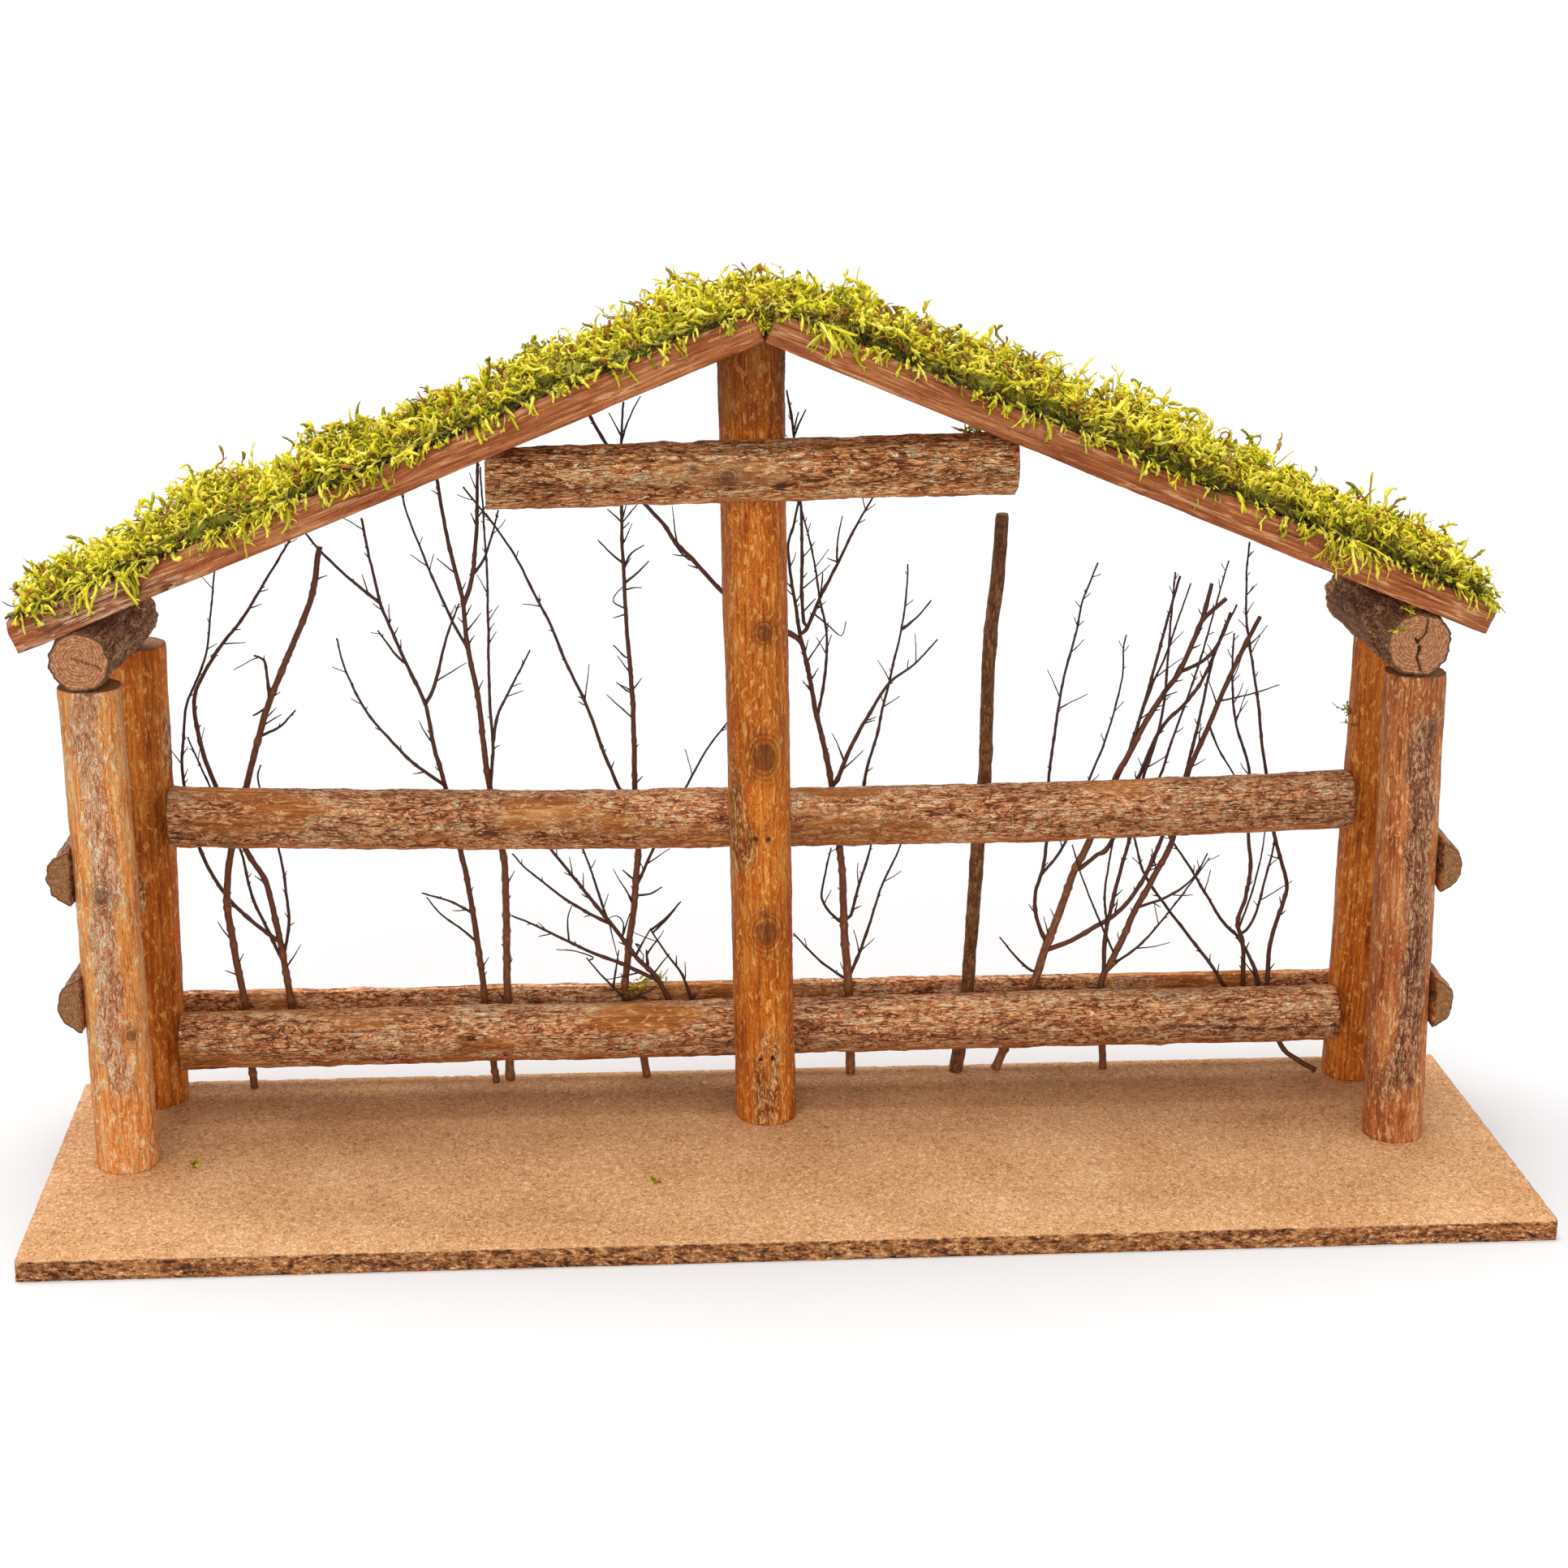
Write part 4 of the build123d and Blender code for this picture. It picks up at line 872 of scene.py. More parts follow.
def growSprigs(name, sprigs, rng, loose=True):
    # each sprig is a curling ribbon with leaflets along it
    base, heading, length, width, curl, tight, hue = (
        sprigs[key] for key in ("base", "heading", "length", "width", "curl", "tight", "hue"))
    count, bits = len(base), 9
    turnAxis = unit(np.cross(heading, curl), 1e-9)
    flip = np.where((rng.random(count) < 0.3) & (tight > 0.17), -1.0, 1.0)[:, None]
    run, path, runs = heading.copy(), [base], [heading]
    for k in range(1, bits):
        angle = (tight * length / (bits - 1))[:, None] * (flip if k > bits // 2 else 1)
        turnAxis = unit(turnAxis + rng.normal(0, 0.16, (count, 3)))
        along = (turnAxis * run).sum(1, keepdims=True)
        run = unit(run * np.cos(angle) + np.cross(turnAxis, run) * np.sin(angle)
                   + turnAxis * along * (1 - np.cos(angle)))
        path.append(path[-1] + run * (length / (bits - 1))[:, None])
        runs.append(run)
    path, runs = np.stack(path, 1), np.stack(runs, 1)
    if loose:
        path = keepOff(path, 0.8)
    taper = np.array([0.6, 0.85, 0.95, 1.0, 1.05, 1.05, 1.0, 0.95, 0.75])
    wide = width[:, None] * taper * rng.uniform(0.55, 1.4, (count, bits))
    twist = rng.uniform(0, math.pi, (count, 1)) + rng.uniform(-2.5, 2.5, (count, 1)) * np.linspace(0, 1, bits)
    points, faces = strands(path, wide, 0.4, twist)
    allPoints, allFaces, total = [points], [faces], len(points)
    hues = [np.repeat(hue, bits * 4)]
    tips = [np.tile(np.repeat(np.linspace(0, 1, bits), 4), count)]
    # glow: how much painted light a sprig gets, at random
    glow = rng.uniform(0.6, 1.2, count)
    glows = [np.repeat(glow, bits * 4)]
    for leaf in range(3):
        spot = rng.integers(1, bits - 1, count)
        root, run = path[np.arange(count), spot], runs[np.arange(count), spot]
        side = np.cross(run, turnAxis)
        sign = 1 if leaf % 2 else -1
        way = run * 0.6 + side * sign * rng.uniform(0.4, 1.0, (count, 1)) + rng.normal(0, 0.3, (count, 3))
        long = rng.uniform(1.2, 3.8, count)
        steps = np.linspace(0, 1, 4)[None, :, None] * long[:, None, None]
        droop = run * 0.1 - side * sign * 0.26
        leaflet = root[:, None] + way[:, None] * steps + droop[:, None] * steps ** 2
        if loose:
            leaflet = keepOff(leaflet, 0.6)
        wider = width[:, None] * np.array([0.5, 0.9, 0.9, 0.6]) * rng.uniform(0.6, 1.1, (count, 1))
        points, faces = strands(leaflet, wider, 0.4, rng.uniform(0, math.pi, (count, 1)) + np.zeros((1, 4)))
        allPoints.append(points)
        allFaces.append(faces + total)
        total += len(points)
        hues.append(np.repeat(np.clip(hue + rng.normal(0, 0.12, count), 0, 1), 16))
        tips.append(np.tile(np.repeat(0.4 + 0.2 * np.arange(4), 4), count))
        glows.append(np.repeat(glow * rng.uniform(0.8, 1.2, count), 16))
    points = np.concatenate(allPoints)
    x, y, z = points.T
    # deep: height within the moss, 0 on the slats to 1 on top, which the material paints as shade low down
    # and as highlight on top; hanging strands take a middle value
    full = np.maximum(8.5 * ridgeLow(x) + 0.6 * heaped(x), 3)
    depth = np.where(y < moss["y"][0] - 0.5, 0.7, np.clip((z - roofTop(x)) / full, 0.12, 1))
    blotch = softNoise(points / 2.4 + 300, moss["seed"] + 8) - 0.5
    layers = {"hue": np.concatenate(hues) + 0.4 * blotch, "tip": np.concatenate(tips), "grain": points + 400,
              "deep": depth * np.concatenate(glows) if loose else np.concatenate(glows) * 0.7}
    makePiece(name, points, [np.concatenate(allFaces)], layers, mossGreen)


def matSprigs(rng):
    # sprigs all over the mat, most of them lying
    (front, back), seed, count = moss["y"], moss["seed"], moss["sprigs"]
    x = rng.uniform(moss["x"][0] + 2, moss["x"][1] - 2, count)
    y = rng.uniform(0, 1, count) ** 1.1
    front = front + 0.5 + 6.0 * frontEdge(x)
    y = front + y * (back - front)
    clump = roughNoise(np.stack([x / 15, y / 15, x * 0], -1) + 10, seed + 1, 2)
    slope = roofTop(x + 0.5) - roofTop(x - 0.5)
    out = unit(np.stack([-slope, x * 0, x * 0 + 1], -1))
    down = np.stack([x * 0 + 1, x * 0, slope], -1)
    turn = rng.uniform(0, 2 * math.pi, count)
    tilt = rng.choice([2, 15, 32, 62], count, p=[0.4, 0.34, 0.19, 0.07]) + rng.normal(0, 7, count)
    rise = np.radians(tilt) * ridgeLow(x)
    heading = (np.cos(rise) * np.cos(turn))[:, None] * down + np.sin(rise)[:, None] * out
    heading[:, 1] += np.cos(rise) * np.sin(turn)
    heap = smoothStep(0.45, 0.75, roughNoise(np.stack([x / 34, y / 26, x * 0], -1) + 60, seed + 6, 2))
    most = (2.0 + 5.0 * clump + 4.5 * heap) * ridgeLow(x) + heaped(x) * (0.7 + 0.3 * (y > 30))
    lift = 0.8 + rng.random(count) ** 1.1 * np.maximum(most, 0.8)
    hue = np.clip(rng.beta(2.2, 1.7, count) + (clump - 0.5) * 0.3, 0, 1)
    return {"base": np.stack([x, y, roofTop(x)], -1) + out * lift[:, None], "heading": heading,
            "length": rng.uniform(6, 16, count) * (0.75 + 0.5 * clump),
            "tight": rng.uniform(0.2, 0.65, count), "width": rng.uniform(0.9, 2.1, count),
            "curl": rng.normal(size=(count, 3)) - out * 0.35,
            "hue": np.where(rng.random(count) < 0.16, rng.uniform(0, 0.14, count), hue)}


def fringeSprigs(rng):
    # strands that hang over the front edge, thick in a few tufts
    many = moss["fringe"]
    x, reach = rng.uniform(moss["x"][0] + 3, moss["x"][1] - 3, many), rng.uniform(5, 12, many)
    for spot, spread, share in moss["tufts"]:
        pick = rng.choice(many, share, replace=False)
        x[pick] = spot + rng.normal(0, spread, share)
        reach[pick] *= 1.5
    y = moss["y"][0] + rng.uniform(0.5, 5.0, many)
    heading = np.stack([rng.normal(0, 0.5, many), -np.ones(many), rng.uniform(-0.1, 0.4, many)], -1)
    return {"base": np.stack([x, y, roofTop(x) + rng.uniform(0.8, 3.0, many)], -1), "heading": unit(heading),
            "length": reach, "tight": rng.uniform(0.06, 0.2, many), "width": rng.uniform(0.9, 1.8, many),
            "curl": np.stack([rng.normal(0, 0.4, many), np.zeros(many), -np.ones(many)], -1),
            "hue": np.clip(rng.beta(3, 2, many), 0, 1)}


def tallSprigs(rng):
    # sprigs that stand up against the sky, three at each tip
    tall = np.array(moss["tall"], float)
    many = 3 * len(tall)
    x, tipZ = np.repeat(tall[:, 0], 3) + rng.normal(0, 2.5, many), np.repeat(tall[:, 1], 3)
    heading = np.stack([rng.normal(0, 0.35, many), rng.normal(0, 0.1, many), np.ones(many)], -1)
    return {"base": np.stack([x, rng.uniform(46, 62, many), roofTop(x) + 3], -1), "heading": unit(heading),
            "length": np.clip((tipZ - roofTop(x) - 3) * np.tile([1.25, 0.9, 0.7], len(tall)), 5, 26),
            "tight": rng.uniform(0.01, 0.07, many), "width": rng.uniform(1.0, 1.7, many),
            "curl": rng.normal(size=(many, 3)), "hue": rng.uniform(0.2, 0.75, many)}


def crumbSprigs(rng):
    # crumbs of moss: in the notch of the ridge and where they fell
    crumbs = np.repeat(moss["crumbs"], [spot[4] for spot in moss["crumbs"]], axis=0)
    spread, longest, many = crumbs[:, 3:4], crumbs[:, 5], len(crumbs)
    heading = rng.normal(size=(many, 3)) * [1, 1, 0.35] + [0, 0, 0.25]
    return {"base": crumbs[:, :3] + rng.uniform(-1, 1, (many, 3)) * spread * [1, 0.6, 0.15] + [0, 0, 0.7],
            "heading": unit(heading), "length": rng.uniform(0.4, 1.0, many) * longest,
            "tight": rng.uniform(0.1, 0.4, many), "width": rng.uniform(0.6, 1.3, many),
            "curl": rng.normal(size=(many, 3)) + [0, 0, 0.4], "hue": rng.uniform(0.0, 1.0, many) ** 2 * 0.7}


def growMoss():
    rng = np.random.default_rng(moss["seed"])
    kinds = [grow(rng) for grow in (matSprigs, fringeSprigs, tallSprigs)]
    sprigs = {key: np.concatenate([kind[key] for kind in kinds]) for key in kinds[0]}
    x, y = sprigs["base"][:, 0], sprigs["base"][:, 1]
    for side, pick in (("left", x < moss["ridge"]), ("right", x >= moss["ridge"])):
        for row, (near, far) in moss["rows"].items():
            own = pick & (y >= near) & (y < far)
            growSprigs(f"moss_{side}_{row}_sprigs", {key: part[own] for key, part in sprigs.items()}, rng)
    growSprigs("moss_crumbs", crumbSprigs(rng), rng, loose=False)


layMat("left")
layMat("right")
growMoss()
print("moss grown")

# Twigs between the rails and the slab: limbs as (thickness at its foot, at its tip, points in x and z).
# lane: mm behind the twigs' middle line; drift: mm it leans back, between two heights;
# bend: mm its foot bows back, less than 0 to the front, and up to which height above the board
twigLane = 77.65
twigs = {
    "twig_1": {"lane": -1.3, "drift": (-2.0, 150, 248), "limbs": [
        (3.3, 2.4, [(-224, 8.6), (-226, 45), (-230, 73), (-232, 95), (-229, 117), (-221, 146),
                    (-216, 163), (-210, 182), (-203, 198), (-191, 226), (-186, 249)]),
        (1.6, 0.9, [(-210, 184), (-210, 194), (-211, 201), (-215, 203)]),
        (1.4, 0.7, [(-213, 168), (-206, 172), (-199, 179)]), (1.2, 0.6, [(-211, 181), (-217, 176)])]},
    "twig_2": {"lane": 1.2, "drift": (2.0, 150, 248), "limbs": [
        (3.3, 0.9, [(-203, 22), (-206, 38), (-209, 68), (-214, 101), (-222, 117), (-234, 147),
                    (-238, 160), (-240, 172), (-240, 186), (-231, 203), (-219, 218), (-207, 237),
                    (-197, 253)]),
        (1.9, 0.7, [(-210, 74), (-222, 85), (-233, 98), (-242, 118), (-247, 147), (-246, 167),
                    (-244, 181), (-239, 193), (-235, 204), (-233, 219), (-230, 240)]),
        (1.6, 0.7, [(-209, 65), (-216, 83), (-221, 96), (-225, 117), (-237, 147), (-245, 166)]),
        (1.5, 0.7, [(-208, 68), (-206, 82), (-206, 92), (-209, 117), (-216, 146), (-215, 154)])]},
    "twig_3": {"lane": -1.3, "drift": (2.0, 200, 253), "limbs": [
        (3.1, 1.0, [(-119, 8.6), (-123, 45), (-126, 78), (-130, 104), (-132, 114), (-138, 145),
                    (-142, 162), (-145, 181), (-152, 198), (-158, 214), (-162, 224), (-166, 242),
                    (-169, 260)]), (1.5, 0.8, [(-162, 224), (-175, 235), (-185, 245), (-193, 255)]),
        (1.7, 0.7, [(-145, 181), (-141, 189), (-135, 210), (-130, 223)]),
        (1.3, 0.7, [(-152, 198), (-156, 201), (-164, 212)]),
        (1.6, 0.7, [(-138, 146), (-152, 156), (-161, 166), (-170, 178), (-178, 196), (-181, 209)]),
        (1.3, 0.7, [(-129, 88), (-137, 93), (-149, 97)]),
        (1.2, 0.6, [(-127, 74), (-131, 79), (-141, 87), (-147, 95)])]},
    "twig_4": {"lane": 1.1, "drift": (2.5, 150, 283), "limbs": [
        (3.8, 1.4, [(-113, 8.6), (-113, 45), (-113, 78), (-113, 104), (-114, 114), (-119, 145),
                    (-121, 166), (-123, 185), (-127, 207), (-128, 223), (-130, 232), (-134, 250),
                    (-138, 277)]), (2.0, 1.2, [(-128, 223), (-125, 232), (-122, 256), (-121, 285)]),
        (1.5, 0.7, [(-119, 142), (-117, 160), (-118, 180), (-118, 204), (-118, 228), (-119, 250),
                    (-120, 280)]), (1.3, 0.7, [(-124, 234), (-119, 243), (-113, 262)]),
        (1.4, 0.7, [(-127, 204), (-133, 215), (-142, 236), (-151, 262), (-152, 273)]),
        (1.4, 0.7, [(-118, 164), (-114, 176), (-101, 202)])]},
    "twig_5": {"lane": 1.2, "drift": (-3.0, 150, 268), "limbs": [
        (3.5, 0.9, [(-53, 8.6), (-57, 31), (-62, 48), (-61, 62), (-60, 74), (-58, 88), (-57, 103),
                    (-56, 114), (-57, 144), (-57, 171), (-58, 190), (-60, 217), (-61, 237), (-62, 255),
                    (-62, 291), (-61, 308)]),
        (1.7, 0.8, [(-57, 128), (-65, 144), (-71, 159), (-77, 177), (-83, 191), (-87, 200), (-93, 216),
                    (-99, 228), (-106, 243), (-112, 253), (-127, 273)]),
        (1.5, 0.7, [(-56, 97), (-50, 113), (-35, 143), (-26, 159), (-17, 171)]),
        (1.1, 0.5, [(-61, 240), (-67, 245), (-72, 250)]), (1.1, 0.5, [(-61, 240), (-58, 245), (-53, 248)]),
        (1.2, 0.5, [(-60, 232), (-56, 236), (-51, 241)]), (0.7, 0.4, [(-60, 230), (-57, 230), (-54, 230)]),
        (0.8, 0.4, [(-61, 221), (-66, 224), (-64, 228), (-61, 231)]), (0.8, 0.4, [(-60, 219), (-66, 217)]),
        (0.9, 0.5, [(-61, 200), (-66, 205)]), (0.9, 0.5, [(-60, 185), (-65, 189)]),
        (0.9, 0.4, [(-59, 174), (-69, 183)]), (0.9, 0.4, [(-62, 258), (-68, 263)]),
        (0.9, 0.4, [(-62, 259), (-60, 265)]), (0.9, 0.5, [(-62, 291), (-60, 298), (-57, 305), (-54, 310)]),
        (0.8, 0.4, [(-62, 294), (-67, 303)]), (1.2, 0.6, [(-57, 93), (-51, 94), (-46, 97)]),
        (1.0, 0.6, [(-59, 100), (-63, 105)])]},
    "twig_6": {"lane": -1.2, "limbs": [
        (2.6, 0.8, [(-33, 30), (-41, 41), (-49, 56), (-58, 66), (-68, 81), (-79, 96), (-92, 114),
                    (-113, 142)]), (1.6, 0.7, [(-68, 81), (-85, 91), (-103, 106), (-110, 114)]),
        (2.0, 0.8, [(-49, 55), (-64, 63), (-76, 68), (-88, 74), (-103, 82), (-111, 86)]),
        (1.3, 0.6, [(-69, 84), (-76, 104), (-79, 113), (-86, 132)]),
        (1.8, 0.7, [(-28, 34), (-32, 42), (-37, 57), (-44, 67), (-49, 75), (-51, 78)]),
        (1.2, 0.6, [(-50, 78), (-44, 84), (-38, 91)]), (1.2, 0.6, [(-63, 47), (-72, 57), (-79, 66)]),
        (1.1, 0.5, [(-69, 52), (-66, 61), (-65, 69)]), (0.9, 0.5, [(-87, 73), (-87, 84), (-85, 90)]),
        (1.1, 0.6, [(-59, 66), (-54, 74), (-51, 79)]), (1.0, 0.5, [(-51, 77), (-44, 83), (-38, 91)]),
        (0.9, 0.5, [(-50, 58), (-43, 67)]), (1.4, 0.8, [(-53, 60), (-53, 69)]),
        (1.0, 0.5, [(-53, 67), (-48, 74)]), (0.9, 0.4, [(-63, 45), (-56, 48), (-49, 52), (-47, 55)]),
        (0.8, 0.4, [(-76, 66), (-84, 69), (-92, 70)]), (0.8, 0.4, [(-40, 61), (-40, 66)]),
        (1.0, 0.5, [(-63, 77), (-60, 86)]), (0.7, 0.3, [(-69, 82), (-67, 72), (-65, 64)]),
        (0.8, 0.4, [(-65, 74), (-63, 82), (-66, 85), (-69, 84)]), (0.8, 0.4, [(-58, 72), (-54, 66)])]},
    "twig_7": {"lane": 0.0, "limbs": [
        (4.3, 0.9, [(37, 8.6), (36, 46), (34, 71), (33, 90), (32, 108), (27, 143), (24, 159), (20, 175),
                    (16, 195), (13, 207), (10, 224), (7, 245), (9, 255), (12, 269)]),
        (1.8, 0.8, [(15, 211), (21, 225), (28, 238), (35, 253), (44, 269)]),
        (1.6, 0.8, [(14, 214), (13, 227), (13, 244), (12, 267), (9, 294), (6, 312)]),
        (1.3, 0.7, [(22, 174), (23, 190), (24, 207), (21, 224), (18, 243), (12, 265)]),
        (1.5, 0.7, [(37, 55), (40, 65), (44, 78), (47, 89), (50, 98), (57, 114), (60, 126)]),
        (1.5, 0.7, [(36, 83), (39, 95), (44, 114), (46, 128)]),
        (1.4, 0.7, [(33, 54), (25, 60), (18, 67), (11, 75)]),
        (1.4, 0.7, [(32, 79), (27, 84), (23, 91), (24, 100), (27, 114)]),
        (2.2, 0.7, [(29, 144), (35, 159), (43, 174), (51, 187), (61, 195), (71, 206)]),
        (1.6, 0.7, [(43, 122), (41, 143), (46, 165), (51, 188), (56, 211), (58, 231), (58, 238)]),
        (1.1, 0.6, [(56, 211), (63, 217), (68, 223)]),
        (2.3, 1.3, [(14, 206), (9, 209), (-5, 215), (-21, 228), (-33, 241), (-40, 248), (-45, 256),
                    (-53, 265), (-61, 278), (-69, 291), (-75, 302)]),
        (1.0, 0.5, [(-39, 248), (-38, 245), (-34, 241)]), (1.0, 0.5, [(28, 239), (28, 250), (30, 259)]),
        (0.8, 0.4, [(28, 240), (24, 241)]), (0.9, 0.5, [(21, 225), (22, 235)]),
        (0.9, 0.5, [(13, 218), (19, 224)]), (0.9, 0.4, [(17, 218), (24, 213), (30, 208), (32, 214)]),
        (1.0, 0.5, [(9, 293), (8, 302), (6, 312)]), (1.0, 0.6, [(9, 293), (11, 298), (14, 304)]),
        (0.9, 0.5, [(9, 296), (11, 303)])]},
    "twig_8": {"lane": 1.1, "drift": (2.6, 150, 213), "limbs": [
        (4.4, 1.9, [(102, 8.6), (117, 46), (123, 67), (128, 81), (134, 101), (140, 114), (151, 144),
                    (155, 152), (162, 167), (169, 179), (176, 190), (182, 204), (185, 212), (195, 222)]),
        (2.1, 1.7, [(182, 204), (185, 211), (189, 228)]),
        (1.8, 0.8, [(122, 68), (118, 80), (117, 92), (119, 99), (121, 114), (121, 144), (123, 163),
                    (126, 186), (131, 208), (133, 222), (139, 238)]),
        (1.4, 0.7, [(119, 99), (129, 114), (139, 144), (145, 159), (149, 173), (152, 189), (152, 200),
                    (153, 206)]),
        (2.4, 0.9, [(124, 64), (134, 69), (144, 75), (154, 82), (163, 95), (171, 115), (179, 139),
                    (185, 165), (191, 198), (200, 219)]),
        (2.1, 1.4, [(136, 102), (143, 108), (150, 116), (167, 160), (180, 176), (188, 188), (198, 215)]),
        (1.4, 0.7, [(115, 56), (108, 63), (102, 71)]),
        (1.6, 1.1, [(153.5, 150.5), (159, 167), (163, 181), (167, 197), (171, 215), (175, 231.5)]),
        (1.2, 0.7, [(159, 167), (165, 184), (170.5, 197), (175, 212), (180, 228)]),
        (1.7, 1.4, [(176, 190), (183, 193), (189, 197), (194, 205), (197, 213)])]},
    "twig_9": {"lane": -1.1, "drift": (-3.5, 150, 208), "limbs": [
        (3.4, 1.9, [(150, 8.6), (148, 47), (152, 59), (157, 72), (161, 83), (168, 97), (176, 115),
                    (181, 146), (189, 168), (195, 186), (201, 201), (208, 216)]),
        (2.0, 0.8, [(148, 53), (148, 69), (150, 82), (152, 93), (157, 115), (162, 143), (169, 172),
                    (171, 235)]), (1.5, 0.7, [(162, 84), (172, 88), (181, 93), (187, 99), (192, 109)]),
        (1.3, 0.6, [(154, 59), (165, 68), (176, 82), (187, 98), (193, 107)]),
        (1.3, 0.7, [(159, 125), (169, 144), (174, 161), (180, 181), (185, 201), (189.5, 222),
                    (194, 239.5)]), (1.0, 0.6, [(189, 168), (194, 157), (202, 144), (206, 133)]),
        (0.9, 0.5, [(192.5, 179), (203, 180.5), (211, 182.5), (219, 185)]),
        (1.1, 0.6, [(153, 63), (144, 82), (137, 99), (132, 114)]),
        (1.2, 0.8, [(148, 57), (148.5, 76), (147, 91), (149.5, 113), (152, 130)])]},
    "twig_10": {"lane": 1.35, "drift": (4.0, 53, 65), "limbs": [
        (1.7, 0.8, [(206, 41), (199, 53), (187, 68), (176, 82), (165, 99), (160, 116), (152, 132)])]},
    "twig_11": {"lane": 1.35, "drift": (4.0, 53, 65), "limbs": [
        (1.8, 0.8, [(219.5, 40), (217, 53), (210, 66), (201, 76), (187, 99), (176, 115), (167, 128)])]},
    "twig_12": {"lane": 1.2, "drift": (-2.5, 150, 203), "limbs": [
        (2.2, 0.8, [(212.5, 39), (211, 65), (208, 76), (211, 88), (212, 103), (210, 117), (209, 145),
                    (202, 166), (199, 183), (198, 199), (198, 208)]),
        (1.4, 0.7, [(212, 72), (216, 80), (219, 94), (222, 112), (222, 128)]),
        (1.1, 0.6, [(209, 73), (212.5, 86), (216, 104), (217.5, 118)])]},
    "twig_13": {"lane": 1.2, "bend": (-12.0, 33), "limbs": [
        (2.4, 0.8, [(244, 9.5), (236, 14), (229, 20), (224, 34), (223, 61), (225, 74), (228, 85),
                    (229, 95), (222, 117), (217, 145), (214, 160), (211, 180), (207, 199), (204, 214),
                    (203, 231), (203, 247)])]},
}


def twigMaterial():
    # dried twig: red-brown bark on the thick limbs, nearly black on the fine ones, pale where it was snipped
    material, add = newMaterial("driedTwigBark")
    grain = add("Attribute", attribute_name="grain").outputs["Vector"]
    thick = add("Attribute", attribute_name="thick").outputs["Fac"]
    at = add("VectorMath", {0: grain, 1: (1 / 0.7, 1 / 4, 1 / 0.7)}, operation="MULTIPLY")
    bark = add("TexNoise", {"Vector": at, "Scale": 1, "Detail": 3})
    mixed = add("Math", {0: bark, 1: 0.7, 2: -0.35}, operation="MULTIPLY_ADD")
    mixed = add("Math", {0: thick, 1: mixed}, operation="ADD")
    colour = add("ValToRGB", {"Fac": mixed}, [
        (0.05, "1E0F09"), (0.3, "3C1C0E"), (0.58, "602F18"), (0.85, "804A28"), (1.0, "A4744A")])
    fine = add("Bump", {"Height": bark, "Strength": 0.6, "Distance": 0.3 * mm})
    shader = add("BsdfPrincipled", {
        "Base Color": colour, "Roughness": 0.55, "Specular IOR Level": 0.35, "Normal": fine})
    add("OutputMaterial", {"Surface": shader})
    return material


def smoothLine(points, step):
    points = np.asarray(points, float)
    padded = np.concatenate([[2 * points[0] - points[1]], points, [2 * points[-1] - points[-2]]])
    line = []
    for i in range(len(points) - 1):
        a, b, c, d = padded[i:i + 4]
        count = max(2, int(np.linalg.norm(c - b) / step))
        t = np.linspace(0, 1, count, endpoint=False)[:, None]
        line.append(0.5 * (2 * b + (c - a) * t + (2 * a - 5 * b + 4 * c - d) * t ** 2
                           + (3 * b - a - 3 * c + d) * t ** 3))
    return np.concatenate([*line, points[-1:]])


def placeLimbs(twig, rng):
    # each limb as (thickness at its foot, at its tip, its line in mm, sides), set on a limb before it
    shift, low, high = twig.get("drift", (0.0, 0.0, 1.0))
    sway, until = twig.get("bend", (0.0, 1.0))
    limbs = []
    for order, (foot, tip, spots) in enumerate(twig["limbs"]):
        back = rng.uniform(0, 4.0) if order else 0.0
        line = []
        for i, (x, z) in enumerate(spots):
            y = twigLane + twig["lane"] + shift * min(max((z - low) / (high - low), 0), 1)
            y += sway * max(1 - (z - boardTop) / until, 0) + back * i / (len(spots) - 1) * (z > 150)
            line.append((x, y, z))
        if order:
            trunk = np.concatenate([limb[2] for limb in limbs])
            gaps = np.linalg.norm(trunk[:, [0, 2]] - np.array(line[0])[[0, 2]], axis=1)
            gaps = gaps + 0.6 * np.maximum(trunk[:, 2] - line[0][2], 0)
            if 0.6 < gaps.min() < 9:
                line = [tuple(trunk[gaps.argmin()]), *line[gaps.min() < 2:]]
        limbs.append((foot, tip, smoothLine(line, 1.6), 8))
    return limbs


def addSprigs(limbs, rng):
    # short side sprigs and buds, by turns on either side
    for foot, tip, line, _ in list(limbs):
        along = runLength(line)
        side = 1
        for _ in range(int(along[-1] / 9) if foot > 1.25 else 0):
            i = int(np.searchsorted(along, rng.uniform(0.08, 0.98) * along[-1]))
            i = min(max(i, 1), len(line) - 2)
            if line[i][2] < 14:
                continue
            run = unit(line[i + 1] - line[i - 1])
            side = -side
            angle = math.radians(rng.uniform(24, 52)) * side
            way = np.array([run[0] * math.cos(angle) - run[2] * math.sin(angle), rng.normal(0, 0.18),
                            run[0] * math.sin(angle) + run[2] * math.cos(angle)])
            long = rng.choice([1.6, 3.5, 7.0, 13.0], p=[0.44, 0.3, 0.19, 0.07]) * rng.uniform(0.75, 1.3)
            local = foot + (tip - foot) * i / len(line)
            bend = rng.normal(0, 0.15, 3) * [1, 0.3, 1] + [0, 0, 0.12]
            t = np.linspace(0, 1, 4)[:, None]
            sprig = line[i] + way * long * t + bend * long * t ** 2 * 0.5
            limbs.append((min(0.45 * local, 0.8) + 0.1, 0.35, smoothLine(sprig, 1.2), 5))


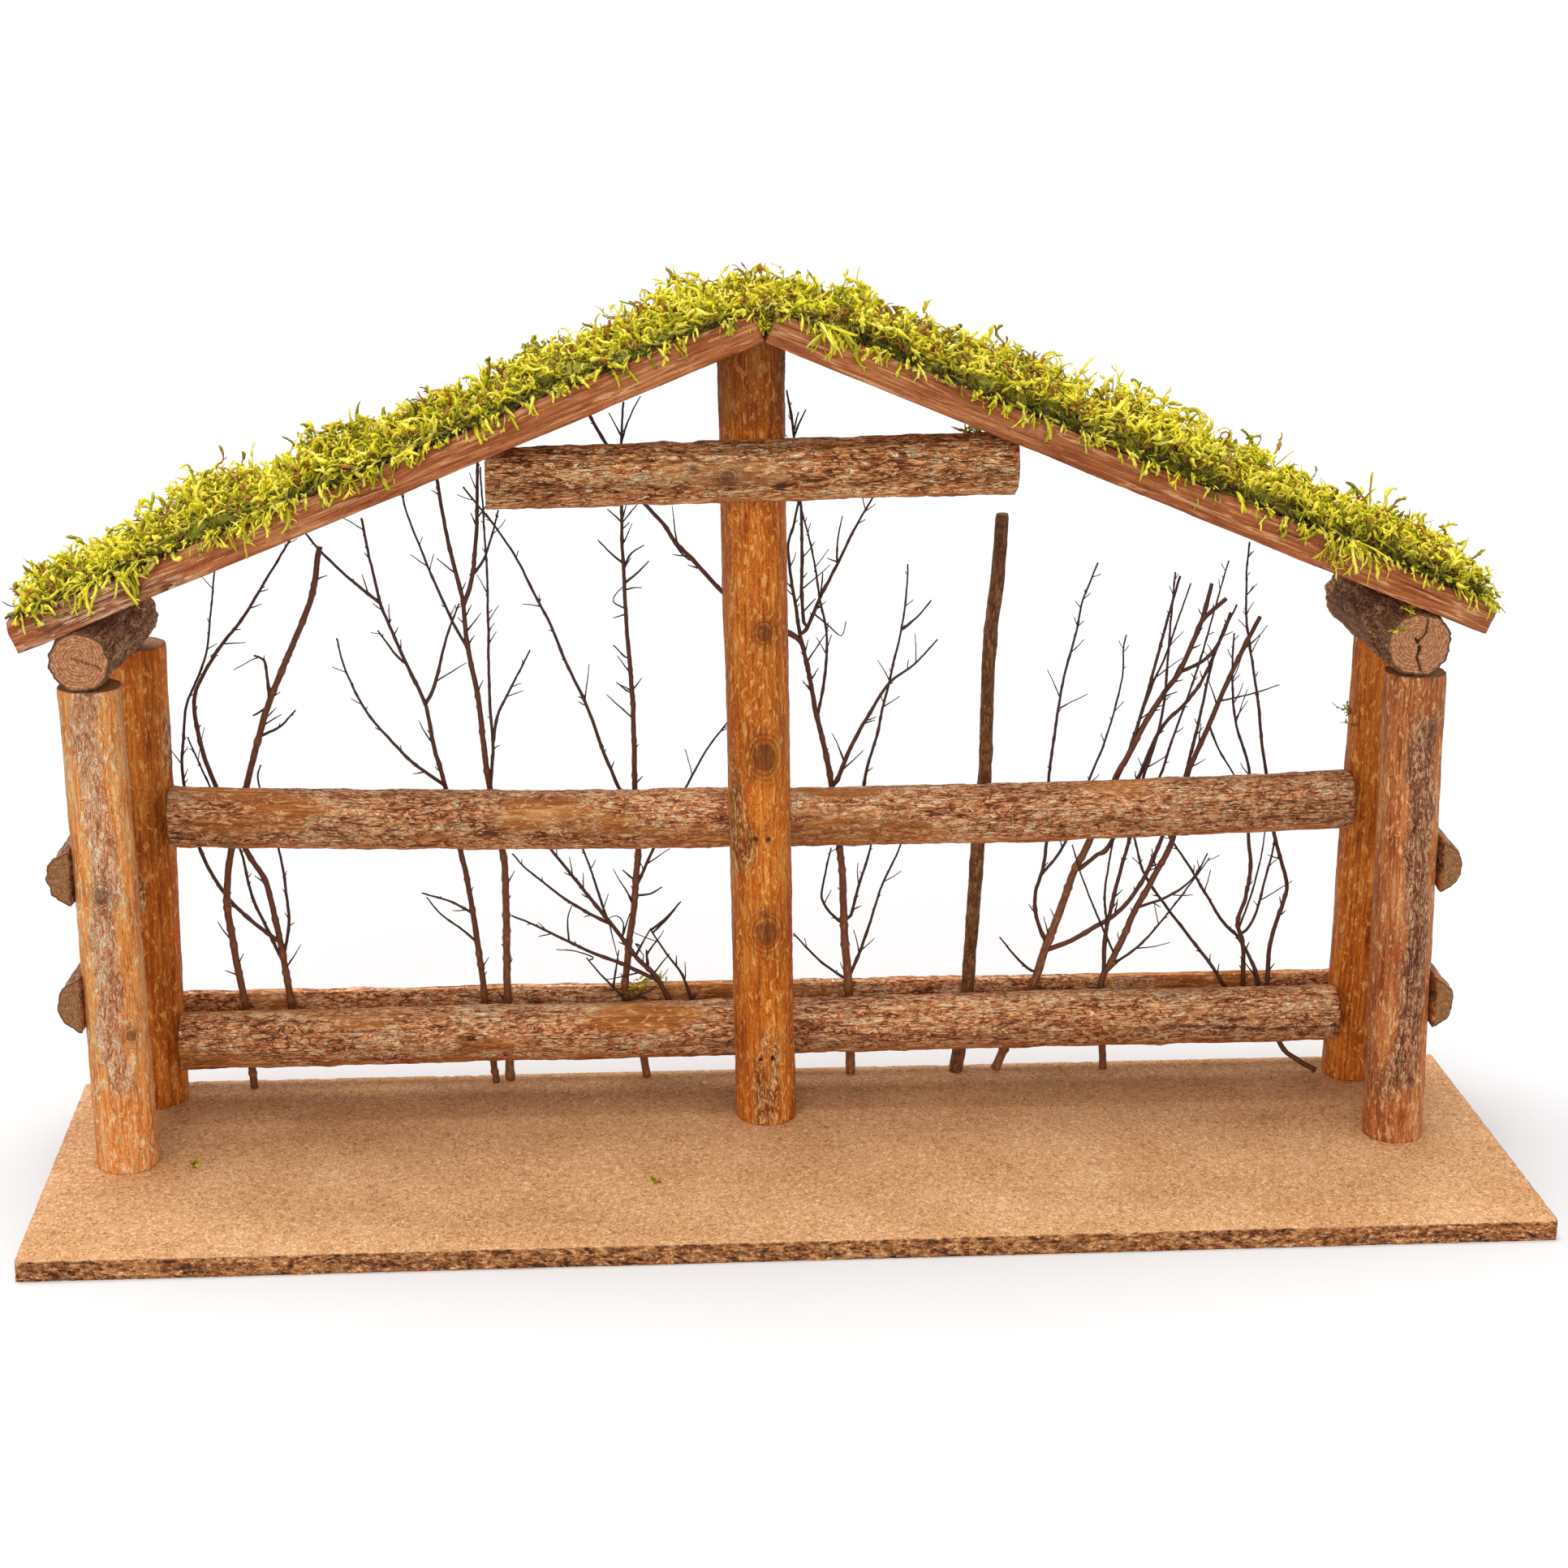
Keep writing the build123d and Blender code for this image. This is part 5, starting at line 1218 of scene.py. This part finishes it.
def growTwig(name, twig, number, material):
    rng = np.random.default_rng(900 + number)
    limbs = placeLimbs(twig, rng)
    addSprigs(limbs, rng)
    allPoints, quads, triangles, grains, thicks, total = [], [], [], [], [], 0
    for foot, tip, line, sides in limbs:
        count = len(line)
        run = unit(np.gradient(line, axis=0))
        side = unit(np.cross(run, [0, 1, 0]))
        back = np.cross(side, run)
        dia = np.linspace(foot, tip, count) * (0.94 + 0.12 * rng.random(count))
        dia[rng.random(count) < 0.12] *= 1.22  # knuckles where a leaf once stood
        wander = np.cumsum(rng.normal(0, 0.06, (count, 2)), axis=0)
        wander -= np.linspace(0, 1, count)[:, None] * wander[-1]
        line = line + side * wander[:, :1] + back * wander[:, 1:] * 0.5
        turn = np.linspace(0, 2 * math.pi, sides, endpoint=False)
        ring = np.cos(turn)[None, :, None] * side[:, None] + np.sin(turn)[None, :, None] * back[:, None]
        points = (line[:, None] + ring * dia[:, None, None] / 2).reshape(-1, 3)
        index = np.arange(count * sides).reshape(count, sides) + total
        around = np.roll(index, -1, 1)
        quads.append(np.stack([index[:-1], around[:-1], around[1:], index[1:]], -1).reshape(-1, 4))
        ends = np.concatenate([line[:1] - run[:1] * 0.1, line[-1:] + run[-1:] * 0.15])
        for tipIndex, edge in ((0, index[0][::-1]), (1, index[-1])):
            last = np.full(sides, total + count * sides + tipIndex)
            triangles.append(np.stack([edge, np.roll(edge, -1), last], -1))
        along = np.linspace(0, np.linalg.norm(np.diff(line, axis=0), axis=1).sum(), count)
        grain = np.stack(np.broadcast_arrays(
            turn[None] * 1.5 + number * 20, along[:, None] + total * 0.37, 0.0), -1).reshape(-1, 3)
        allPoints += [points, ends]
        grains += [grain, grain[[0, -1]]]
        snipped = 0.9 if tip > 1.3 else 0.1
        thicks += [np.repeat(np.clip(dia / 4.4, 0, 0.85), sides), np.clip([foot / 4.4, snipped], 0, 1)]
        total += len(points) + 2
    layers = {"grain": np.concatenate(grains), "thick": np.concatenate(thicks)}
    makePiece(name + "_wood", np.concatenate(allPoints), [np.concatenate(quads), np.concatenate(triangles)],
              layers, material, [name])


twigBark = twigMaterial()
for number, (name, twig) in enumerate(twigs.items()):
    growTwig(name, twig, number, twigBark)
stick = {"line": [(84, 77.2, 8.6), (88, 77.3, 46), (89.5, 77.8, 81), (91, 78.3, 114), (93, 78.5, 143),
                  (93, 78.5, 174), (93.5, 78.5, 205), (96, 78.5, 235), (97, 78.5, 260)], "dia": 6.3,
         "look": {"seed": 83, "bark": 0.8, "flake": (7, 1.8), "rough": 0.3, "swell": 0.5,
                  "knots": [(0.02, 80, 1.8), (0.97, 172, 1.6)]}}
carve("twig_stick", outline("round", stick["dia"], stick["dia"]), smoothLine(stick["line"], 4), front, right,
      stick["look"], "darkShootBark", suffix="_wood")
print("twigs set")


# Floor and light: a broad lamp overhead, a wide low one in front, white all round
def seenDirectly(add):
    # 1 for what the camera sees, also in a shine or through glass, and 0 for what only lights the object
    path = add("LightPath")
    seen = 0.0
    for ray in ("Is Camera Ray", "Is Glossy Ray", "Is Transmission Ray"):
        seen = add("Math", {0: path.outputs[ray], 1: seen}, operation="MAXIMUM")
    return seen


floorMaterial, add = newMaterial("whitePaperFloor")  # matt paper: even and without gloss
shown = add("Mix", {0: seenDirectly(add), 6: linear("C0C0C0"), 7: linear("F0F0F0")}, data_type="RGBA")
paper = add("BsdfDiffuse", {"Color": shown})
add("OutputMaterial", {"Surface": paper})
floorMesh = bpy.data.meshes.new("floor")
floorMesh.from_pydata([(-6, -6, 0), (6, -6, 0), (6, 6, 0), (-6, 6, 0)], [], [(0, 1, 2, 3)])
floorMesh.materials.append(floorMaterial)
floor = bpy.data.objects.new("floor", floorMesh)
bpy.context.collection.objects.link(floor)

world = bpy.data.worlds.new("whiteRoom")
bpy.context.scene.world = world
world.use_nodes = True
world.node_tree.nodes.clear()
add = functools.partial(addNode, world.node_tree)
strength = add("MapRange", {"Value": seenDirectly(add), 3: 0.3, 4: 1.0})
sky = add("Background", {"Color": (1, 1, 1, 1), "Strength": strength})
add("OutputWorld", {"Surface": sky})

lamps = {
    "overheadSun": {"aim": (0.1, -0.1, -1.0), "strength": 2.55, "spread": 40},
    "frontSun": {"aim": (0.14, 1.0, -0.12), "strength": 1.95, "spread": 60},
}
for name, lamp in lamps.items():
    light = bpy.data.lights.new(name, "SUN")
    light.energy = lamp["strength"]
    light.angle = math.radians(lamp["spread"])
    bulb = bpy.data.objects.new(name, light)
    bulb.rotation_euler = Vector(lamp["aim"]).to_track_quat("-Z", "Y").to_euler()
    bpy.context.collection.objects.link(bulb)
bpy.context.scene.view_settings.view_transform = "Standard"
print("floor and lamps placed")
